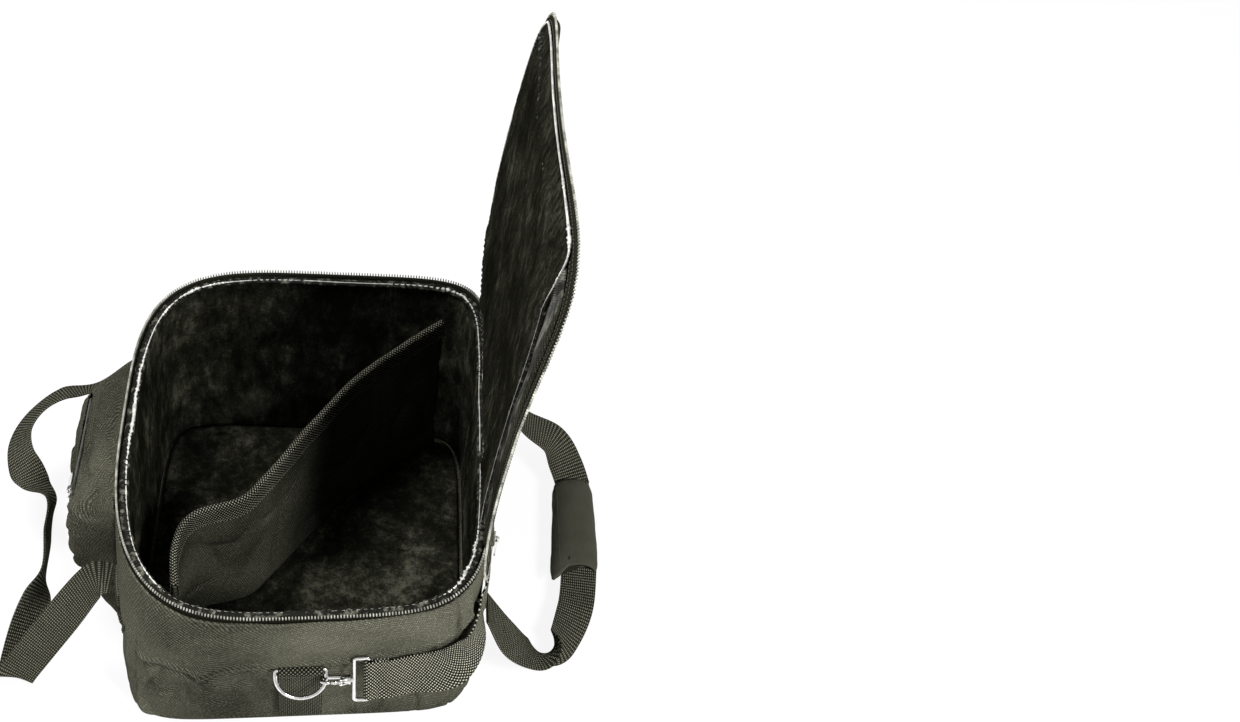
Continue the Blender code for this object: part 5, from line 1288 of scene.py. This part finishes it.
def metal_finish(name, colour, roughness):
    metal = Finish(name, Metallic=1.0)
    here = metal.place()
    rub = metal.noise(here, 300.0, 4.0, 0.6)
    scratch = metal.noise(metal.place((1.0, 8.0, 1.0)), 900.0, 2.0)
    tone = metal.blend(metal.ramp(rub, (0.3, 0.0), (0.62, 1.0)), tuple(v * 0.72 for v in colour), colour)
    return metal.finish(tone, roughness + rub * 0.12, scratch * 0.5 + rub * 0.5, 0.00015, 0.35)


CHROME = metal_finish("plated_metal", (0.52, 0.52, 0.50), 0.10)


def wire_ring(name, points):
    """A closed ring of round wire through points, which lie in one plane."""
    route = np.array(points, float)
    way = ways(route, True)
    return swept(name, route, np.cross(way[0], way[len(way) // 3]), circle(16) * WIRE, along=True)


def arc(cx, cy, radius, start, end, count):
    turn = np.radians(np.linspace(start, end, count))
    return [(cx + radius * math.cos(a), cy + radius * math.sin(a)) for a in turn]


def turned(name, profile):
    """A piece turned about X from (along, radius) points in order round its section."""
    grid = [[(along, radius * y, radius * z) for y, z in circle(32)] for along, radius in profile]
    return surface(name, grid, around=True, along=True, sharp=35)


def softened(obj, width, angle=30.0):
    soft = obj.modifiers.new("softened", "BEVEL")
    soft.width, soft.segments, soft.limit_method, soft.angle_limit = width, 2, "ANGLE", math.radians(angle)
    return obj


def plate(name, points, thickness, bevel=0.0003):
    """A flat casting about the XY plane with softened edges."""
    build = bmesh.new()
    face = build.faces.new([build.verts.new((x, y, -thickness / 2)) for x, y in points])
    raised = bmesh.ops.extrude_face_region(build, geom=[face])["geom"]
    corners = [part for part in raised if isinstance(part, bmesh.types.BMVert)]
    bmesh.ops.translate(build, vec=(0, 0, thickness), verts=corners)
    bmesh.ops.recalc_face_normals(build, faces=build.faces)
    mesh = bpy.data.meshes.new(name)
    build.to_mesh(mesh)
    build.free()
    return softened(linked(name, mesh), bevel)


def metal_part(obj, seat, body, *replaced):
    """The mesh is put in its frame, and the object stays at the origin."""
    obj.data.transform(seat)
    obj.data.update()
    fitted(obj, CHROME, body, "metal", *replaced)


def axes_of(seat):
    """The three axes of a frame and its origin."""
    return (*np.array(seat.to_3x3()).T, np.array(seat.translation))


def ring_points():
    inner = RING_HALF_WIDTH - RING_CORNER
    right = arc(inner, -RING_CORNER, RING_CORNER, 90.0, 0.0, 7)
    half_turn = arc(0, 0, 1, 0.0, -180.0, 40)
    bow = [(RING_HALF_WIDTH * x, -RING_SIDE + (RING_DEPTH - RING_SIDE) * y) for x, y in half_turn]
    left = arc(-inner, -RING_CORNER, RING_CORNER, 180.0, 90.0, 7)
    bar = [(inner * x, 0.0) for x in (-0.6, -0.2, 0.2, 0.6)]
    return [(x, y, 0.0) for x, y in right + bow + left + bar]


def ring_tab(name, seat):
    """Webbing folded round the ring's bar, its two ends stitched to each other and to the wall."""
    level, up, out, origin = axes_of(seat)
    foot, front_layer = RING_TAB_FOOT - RING_HEIGHT, RING_FOLD * 0.52
    behind = [(0.0, foot * t) for t in np.linspace(1.0, 0.0, 16)]
    fold = arc(RING_FOLD, 0.0, RING_FOLD - 0.0006, 180.0, -120.0, 26)[1:]
    front = [(front_layer, mix(fold[-1][1], foot, t)) for t in np.linspace(0.08, 1.0, 24)]
    route = np.array([origin + out * (a + 0.0012) + up * b for a, b in behind + fold + front])
    tab = webbing_loop(name, route, level, RING_TAB_WIDTH, RING_TAB_THICKNESS)
    fitted(tab, WEBBING, "bag", "webbing", name)
    across = level * np.linspace(-0.019, 0.019, 20)[:, None]
    for row, drop in enumerate((0.013, 0.0165)):
        line = origin + out * (front_layer + 0.0026) - up * drop + across
        stitched(f"{name}_stitches_{row}", line, out, slot="webbing")


def ring_set(label, side, hand):
    """All the fittings at one end of the strap; gives the frame of the bar that the strap goes round."""
    seat = wall_seat(side, RING_CENTRE_X, RING_HEIGHT, 2 * CLEARANCE)
    level, up, out = (seat.col[k].to_3d() for k in range(3))
    ring_tab(label + "_ring_tab", seat)
    ring_frame = seat @ Matrix.Translation((0.0, 0.0, RING_FOLD))
    ring_frame = ring_frame @ Matrix.Rotation(-math.radians(RING_TILT), 4, "X")
    wire_bow = wire_ring(label + "_d_ring_wire", ring_points())
    metal_part(wire_bow, ring_frame, label + "_ring", label + "_d_ring")
    along = hand * level
    wire = hand * ring_frame.col[1].to_3d()
    grip = ring_frame @ Vector((hand * (RING_HALF_WIDTH + HOOK_REACH - CLEARANCE), -HOOK_DROP, 0.0))
    hook_frame = Matrix((along, wire.cross(along), wire)).transposed().to_4x4()
    hook_frame.translation = grip
    snap_hook(label, hook_frame)
    lean = Matrix.Rotation(-math.radians(EYE_TILT), 3, level)
    eye_frame = Matrix((along, lean @ -out, hand * (lean @ up))).transposed().to_4x4()
    eye_frame.translation = grip
    swivel_eye(label, eye_frame)
    return eye_frame @ Matrix.Translation((EYE_BAR, 0.0, 0.0))


def snap_hook(label, seat):
    body = label + "_hook"
    bore, soft = PIN_RADIUS + CLEARANCE, 0.0006
    collar = [(-COLLAR_BACK, bore), (COLLAR_FRONT, bore), (COLLAR_FRONT, COLLAR_RADIUS - soft)]
    collar += [(COLLAR_FRONT - soft, COLLAR_RADIUS), (0.3 * COLLAR_FRONT, COLLAR_RADIUS)]
    collar += [(0.0, COLLAR_RADIUS - soft), (-0.3 * COLLAR_FRONT, COLLAR_RADIUS)]
    collar += [(soft - COLLAR_BACK, COLLAR_RADIUS), (-COLLAR_BACK, COLLAR_RADIUS - soft)]
    metal_part(turned(label + "_hook_collar", collar), seat, body, body)
    high = HOOK_HALF_HEIGHT
    route = [(-COLLAR_BACK / 2, 0.7 * high), (-1.1 * COLLAR_BACK, 0.9 * high), (-1.8 * COLLAR_BACK, high)]
    route += arc(-HOOK_BOW_CENTRE, 0.0, high, 90.0, 270.0, 15) + [(-HOOK_NOSE, -high)]
    bow = smooth_route([(x, y, 0.0) for x, y in route], 3)
    t = np.linspace(0.0, 1.0, len(bow))[:, None, None]
    wire = circle(16) * WIRE * (1.05 - 0.12 * t - 0.5 * hump(1 - t, 0.02))
    metal_part(swept(label + "_hook_bow", bow, (0.0, 0.0, 1.0), wire), seat, body)
    ear = arc(-GATE_BACK, -high, GATE_BOSS * 0.9, 110.0, 320.0, 14)
    ear += [(-0.2 * COLLAR_BACK, -0.88 * COLLAR_RADIUS), (-0.9 * COLLAR_BACK, -0.5 * COLLAR_RADIUS)]
    for end, where in ((-1, "near"), (1, "far")):
        beside = seat @ Matrix.Translation((0.0, 0.0, end * EAR_MIDDLE))
        metal_part(plate(f"{label}_hook_ear_{where}", ear, EAR_THICKNESS), beside, body)
    reach = EAR_MIDDLE + EAR_THICKNESS * 0.8
    pin = np.array([(-GATE_BACK, -high, s * reach) for s in np.linspace(-1, 1, 6)])
    rivet = swept(label + "_gate_rivet", pin, (1.0, 0.0, 0.0), circle(14) * GATE_PIN, sharp=40)
    metal_part(rivet, seat, body)
    gate(label, seat @ Matrix.Translation((-GATE_BACK, -high, 0.0)))


def gate(label, seat):
    boss = arc(0.0, 0.0, GATE_BOSS, -140.0, 140.0, 18)
    tip = GATE_BACK - HOOK_NOSE + CLEARANCE
    nub = 0.6 * tip
    bar = [(tip, GATE_HALF_HEIGHT), (tip, -GATE_HALF_HEIGHT), (nub - 0.002, -GATE_HALF_HEIGHT)]
    bar += [(nub - 0.001, -1.9 * GATE_HALF_HEIGHT), (nub, -2 * GATE_HALF_HEIGHT)]
    bar += [(nub + 0.001, -1.9 * GATE_HALF_HEIGHT), (nub + 0.002, -GATE_HALF_HEIGHT)]
    tongue = plate(label + "_gate_tongue", boss + bar, 2 * GATE_HALF_THICKNESS, 0.0004)
    metal_part(tongue, seat, label + "_gate", label + "_gate")


def swivel_eye(label, seat):
    head, shoulder = -COLLAR_BACK - CLEARANCE, 1.7 * PIN_RADIUS
    profile = [(head - PIN_HEAD_LENGTH, 0.0001), (head - PIN_HEAD_LENGTH, 0.8 * PIN_HEAD)]
    profile += [(head - 0.6 * PIN_HEAD_LENGTH, PIN_HEAD), (head, PIN_HEAD), (head, PIN_RADIUS)]
    profile += [(EYE_SHOULDER, PIN_RADIUS), (EYE_SHOULDER, shoulder)]
    profile += [(EYE_START, shoulder), (EYE_START, 0.0001)]
    metal_part(turned(label + "_swivel_pin", profile), seat, "bag", label + "_hook_eye")
    high, corner = EYE_HALF_HEIGHT, 1.2 * WIRE
    loop = []
    corners = ((EYE_BAR, 1, 90.0), (EYE_BAR, -1, 0.0), (EYE_START, -1, -90.0), (EYE_START, 1, -180.0))
    for x, up, start in corners:
        cx = x - corner if x == EYE_BAR else x + corner
        loop += [(a, 0.0, b) for a, b in arc(cx, up * (high - corner), corner, start, start - 90.0, 7)]
    metal_part(wire_ring(label + "_strap_loop", loop), seat, "bag")


front_bar = ring_set("front", "front", 1)
rear_bar = ring_set("rear", "rear", -1)


# Shoulder strap: 50 mm webbing from loop to loop round the right side, each end folded back round its bar.
# It is threaded through a three-bar slide and lies slack and a little twisted against the bag.
FOLD_RADIUS = WIRE + 2 * CLEARANCE + STRAP_THICKNESS / 2
FOLD_SHARES = (
    (5.0, -0.42), (2.2, -0.46), (0.8, -0.9), (0.0, -1.0), (-0.71, -0.71), (-1.0, 0.0),
    (-0.71, 0.71), (0.0, 1.0), (0.8, 0.9), (2.2, 0.5), (5.0, 0.46),
)
# The strap's way as (angle, share of the height, distance off the wall, lean), in thicknesses of webbing
STRAP_FRONT = (
    (283.0, 0.475, 5.8, 3.9), (292.0, 0.49, 7.4, 5.0), (302.0, 0.515, 8.0, 5.0), (315.0, 0.57, 6.0, 2.6),
    (330.0, 0.67, 2.2, 0.2), (345.0, 0.695, 1.8, 0.0),
)
STRAP_REAR = [(360.0 - angle, *rest) for angle, *rest in STRAP_FRONT[::-1]]


def strap_end(bar):
    """The webbing's way round the bar of an end loop, and the way its width lies there."""
    along, out, up, origin = axes_of(bar)
    places = np.array([origin + FOLD_RADIUS * (a * along - o * out) for a, o in FOLD_SHARES])
    return places, np.broadcast_to(up, places.shape)


def shoulder_strap():
    start, start_sides = strap_end(front_bar)
    end, end_sides = strap_end(rear_bar)
    angle, share, offset, lean = np.array([*STRAP_FRONT, (0.0, 0.7, 1.6, 0.0), *STRAP_REAR]).T
    height, rim = share * BAG_HEIGHT, rim_height(angle)
    middle = wall_ring(angle, height / rim, -offset * STRAP_THICKNESS)
    above = wall_ring(angle, (height + STRAP_WIDTH / 2) / rim, (lean - offset) * STRAP_THICKNESS)
    route = smooth_route(np.concatenate([start, middle, end[::-1]]), 8)
    turns = smooth_route(unit(np.concatenate([start_sides, above - middle, -end_sides])), 8)
    strap = webbing_loop("shoulder_strap", route, turns, STRAP_WIDTH, STRAP_THICKNESS)
    fitted(strap, STRAP_WEBBING, "bag", "webbing", "shoulder_strap")


shoulder_strap()


# Zip tails: short nylon tabs sewn on below the hinge corners.
# Each carries an end of the zip's coil between two rows of stitches.
TAIL_WIDTH, TAIL_LENGTH, TAIL_THICKNESS, TAIL_HEIGHT = 0.022, 0.044, 0.0014, 0.2195
TAIL_TOOTH = (0.0013, 0.0044, 0.0026)


def zip_tail(label, along):
    level, up, out, origin = axes_of(wall_seat("right", along, TAIL_HEIGHT, 2.5 * CLEARANCE))
    name = "zip_tail_" + label
    t, s = np.linspace(-0.5, 0.5, 24)[:, None, None], np.linspace(-0.5, 0.5, 14)[None, :, None]
    standing = TAIL_THICKNESS + 0.0003 * np.sin(40 * t + 6 * s)
    grid = origin + level * s * TAIL_WIDTH + up * t * TAIL_LENGTH + out * standing
    tab = thicken(surface(name + "_cloth", grid, sharp=50), TAIL_THICKNESS)
    fitted(tab, NYLON, "bag", "nylon", name)
    line = origin + out * TAIL_THICKNESS + up * np.linspace(-0.5, 0.5, 30)[:, None] * TAIL_LENGTH * 0.86
    coil = beaded(name + "_coil", line + out * 0.0012, out, TOOTH_PITCH, bead(*TAIL_TOOTH))
    fitted(coil, COIL, "bag", "chain")
    for edge, where in ((-1, "left"), (1, "right")):
        seam = line + level * edge * TAIL_WIDTH * 0.42 + out * 0.0004
        stitched(f"{name}_stitches_{where}", seam, out)


zip_tail("front", -0.147)
zip_tail("rear", 0.15)


# Sliders, pulls and the strap's slide: small castings of plated metal.
# Their solids are right as they are, and are only softened at their edges.
def dress(name, finish, width=0.00025):
    nodes[name].data.materials.clear()
    nodes[name].data.materials.append(finish)
    softened(nodes[name], width, 40.0)


DARK_METAL = metal_finish("dark_plated_metal", (0.5, 0.5, 0.48), 0.16)
for place in ("front", "rear", "pocket"):
    dress(place + "_slider", DARK_METAL)
    dress(place + "_pull", CHROME)
dress("strap_adjuster", DARK_METAL, 0.0004)


# Pocket: an unlined pouch of the same nylon on the left wall, closed by a curved zip near its top.
# Its cloth is slack: it hangs in a belly and slanting creases, and is pleated at the zip's front end.
POCKET_FRONT, POCKET_REAR, POCKET_DEPTH, POCKET_FOOT, POCKET_TOP = -0.113, 0.122, 0.062, 0.022, 0.205
POCKET_ZIP_GAP = 0.0047 + 2 * CLEARANCE
POCKET_ZIP_FRONT, POCKET_ZIP_REAR = -0.064, 0.082
POCKET_END_SHARE, POCKET_ZIP_KNOT, POCKET_STEPS = 0.28, 5, 4
POCKET_STAND, POCKET_TOOTH = SHELL / 2 + CLEARANCE, (0.0014, 0.0046, 0.0023)
POCKET_SHARES = (
    (0.0, 0.0), (0.36, 0.05), (0.62, 0.24), (0.85, 0.44), (0.98, 0.62),
    (0.82, 0.79), (0.55, 0.88), (0.25, 0.95), (0.0, 1.0),
)
POCKET_CURVE = smooth_route(np.array(POCKET_SHARES) * (POCKET_DEPTH, POCKET_TOP - POCKET_FOOT), POCKET_STEPS)
POCKET_RUN = run_of(POCKET_CURVE)
POCKET_ZIP_RUN = POCKET_RUN[POCKET_ZIP_KNOT * POCKET_STEPS]


def pocket_place(run):
    return np.array([np.interp(run, POCKET_RUN, POCKET_CURVE[:, k]) for k in (0, 1)])


def pocket_out(run):
    """The way out of the pouch at this place round its section."""
    x, z = unit(pocket_place(run + POCKET_ZIP_GAP) - pocket_place(run - POCKET_ZIP_GAP))
    return np.array((-z, 0.0, -x))


def pocket_row(run, front, rear, columns, stand=0.0, creased=True):
    """A level row of the pouch at this place round its section, which may change along the row."""
    row = []
    alongs = np.linspace(rear, front, columns)
    for along, at in zip(alongs, np.broadcast_to(run, columns)):
        depth, rise = pocket_place(at)
        height, out = POCKET_FOOT + rise, pocket_out(at)
        share = 2 * (along - POCKET_FRONT) / (POCKET_REAR - POCKET_FRONT) - 1
        swell = math.sin(min(1.0, (1.0 - abs(share)) / POCKET_END_SHARE) * math.pi / 2)
        wall = POCKET_STAND - wall_seat("left", along, height).translation.x
        reach = max(wall, mix(wall, MOUTH_REACH[0] + depth, swell))
        point = np.array((-reach, along, height))
        if creased:
            point = point + out * pocket_slack(point, at, along, swell)
        row.append(point + out * stand)
    return np.array(row)


def pocket_slack(point, run, along, swell):
    """How far the slack cloth stands out: a belly under the zip, slanting folds, a pleat at its front."""
    past_zip = run - POCKET_ZIP_RUN
    off_zip = min(1.0, abs(past_zip) / 0.022)
    rearward = eased((along + 0.05) / 0.08)
    belly = mix(-0.0060, 0.0042, rearward) * hump(past_zip + mix(0.040, 0.024, rearward), 0.022)
    slant = ripple(point * (1.0, 0.55, 1.0), 0.034, 51.0, 3)
    folds = 0.0050 * slant - 0.0040 * hump(slant, 0.12) + 0.0007 * ripple(point, 0.016, 60.0, 2)
    pleat = 0.0045 * hump(past_zip - 0.0075, 0.0055) - 0.0035 * hump(past_zip + 0.0060, 0.0055)
    pleat = pleat * eased((POCKET_ZIP_FRONT - along) / 0.016) * off_zip**0.3
    return swell * (belly + folds * (0.2 + 0.8 * off_zip)) + pleat * swell**0.5


def zip_opening(columns, extra=0.0):
    """Half the width of the gap between the two cloths along a row: it closes beyond the zip's ends."""
    along = np.linspace(POCKET_REAR, POCKET_FRONT, columns)
    inside = np.minimum(along - POCKET_ZIP_FRONT, POCKET_ZIP_REAR - along)
    return mix(0.0001, POCKET_ZIP_GAP, eased(1 + inside / 0.012)) + extra


def pocket_cloth(name, foot, top, rows):
    runs = [mix(foot, top, share) for share in np.linspace(0.0, 1.0, rows)]
    grid = [pocket_row(run, POCKET_FRONT, POCKET_REAR, 110) for run in runs]
    fitted(thicken(surface(name + "_cloth", grid), SHELL), NYLON, "bag", "nylon", name)


def pocket():
    gap = zip_opening(110)
    pocket_cloth("pocket_shell", 0.0, POCKET_ZIP_RUN - gap, 64)
    pocket_cloth("pocket_top", POCKET_ZIP_RUN + gap, POCKET_RUN[-1], 26)
    sunk, half = -(SHELL + 5 * CLEARANCE), POCKET_ZIP_GAP + 0.0047

    def zip_row(run, stand):
        return pocket_row(run, POCKET_ZIP_FRONT, POCKET_ZIP_REAR, 80, stand, False)

    rows = [zip_row(run, sunk) for run in np.linspace(POCKET_ZIP_RUN - half, POCKET_ZIP_RUN + half, 7)]
    coil = ("pocket_zip_coil", zip_row(POCKET_ZIP_RUN, sunk + CLEARANCE + 0.0012))
    out = pocket_out(POCKET_ZIP_RUN)
    dark_coil = coil_finish("pocket_zip_coil", (0.014, 0.014, 0.011), (0.07, 0.07, 0.055))
    zipped("pocket_tape_woven", rows, *coil, out, POCKET_TOOTH, dark_coil, "bag", "pocket_zip", 0.0022)
    seams = (("lower", -1, 0.003), ("upper", 1, 0.003), ("top", 1, 0.011), ("edge", 1, 0.015))
    for label, side, away in seams:
        seam = POCKET_ZIP_RUN + side * zip_opening(140, away)
        line = pocket_row(seam, POCKET_FRONT, POCKET_REAR, 140, STITCH_STAND)[12:-12]
        stitched("pocket_stitches_" + label, line, out)


pocket()


# Studio: a pale floor, soft lamps at a plain level, and the camera where the photograph was taken from.
# The floor glows for the camera alone; the room is bright there and in metal, and lights the cloth dimly.
CAMERA_PLACE = (0.0675, -1.2559, 1.5466)
CAMERA_YAW, CAMERA_DOWN, CAMERA_ROLL = -3.28, 44.38, -0.12
CAMERA_PIXELS, IMAGE_WIDTH, CENTRE_X = 1786.3, 1240.0, 301.3


def camera():
    yaw, down, roll = (math.radians(a) for a in (CAMERA_YAW, CAMERA_DOWN, CAMERA_ROLL))
    ahead = Vector((math.sin(yaw) * math.cos(down), math.cos(yaw) * math.cos(down), -math.sin(down)))
    right = Vector((math.cos(yaw), -math.sin(yaw), 0.0))
    up = right.cross(ahead)
    turned_right = math.cos(roll) * right + math.sin(roll) * up
    turned_up = -math.sin(roll) * right + math.cos(roll) * up
    lens = bpy.data.cameras.new("camera")
    lens.sensor_width = 36.0
    lens.lens = 36.0 * CAMERA_PIXELS / IMAGE_WIDTH
    lens.shift_x = (IMAGE_WIDTH / 2 - CENTRE_X) / IMAGE_WIDTH
    made = linked("camera", lens)
    made.matrix_world = Matrix((turned_right, turned_up, -ahead)).transposed().to_4x4()
    made.location = CAMERA_PLACE
    bpy.context.scene.camera = made


def lamp(name, place, target, size, watts):
    light = bpy.data.lights.new(name, "AREA")
    light.size, light.energy = size, watts
    made = linked(name, light)
    made.location = place
    made.rotation_euler = (Vector(target) - Vector(place)).to_track_quat("-Z", "Y").to_euler()


def pale_floor():
    pale = Finish("pale_floor", shader="Material Output")
    cloth = pale.node("BsdfDiffuse", {"Color": (0.95, 0.95, 0.95)})
    share = pale.node("LightPath", {}, "Is Camera Ray") * 0.9
    both = pale.node("MixShader", {0: share, 1: cloth, 2: pale.node("Emission", {})})
    pale.feed(pale.shader.inputs["Surface"], both)
    return pale.material


def bright_room():
    room = Finish("studio", "worlds", "Background", Color=(1.0, 1.0, 1.0, 1.0))
    rays = ("Camera", "Transmission", "Glossy")
    seen, clear, glossy = (room.node("LightPath", {}, f"Is {ray} Ray") for ray in rays)
    bright = seen.highest(clear).highest(glossy)
    level = room.node("MapRange", {"Value": bright, "To Min": 0.2, "To Max": 1.0})
    room.feed(room.shader.inputs["Strength"], level)
    return room.material


GROUND_HALF, GROUND_LEVEL = 12.0, -0.0005


def studio():
    ends = (-GROUND_HALF, GROUND_HALF)
    ground = surface("studio_floor", [[(x, y, 0.0) for x in ends] for y in ends])
    ground.location.z = GROUND_LEVEL
    ground.data.materials.append(pale_floor())
    bpy.context.scene.world = bright_room()
    lamp("key", (1.2, -1.65, 1.95), (0.0, -0.05, 0.12), 0.5, 98.0)
    lamp("top", (-0.8, 0.1, 2.3), (0.0, 0.0, 0.15), 0.9, 72.0)
    bpy.context.scene.view_settings.view_transform = "Standard"


camera()
studio()
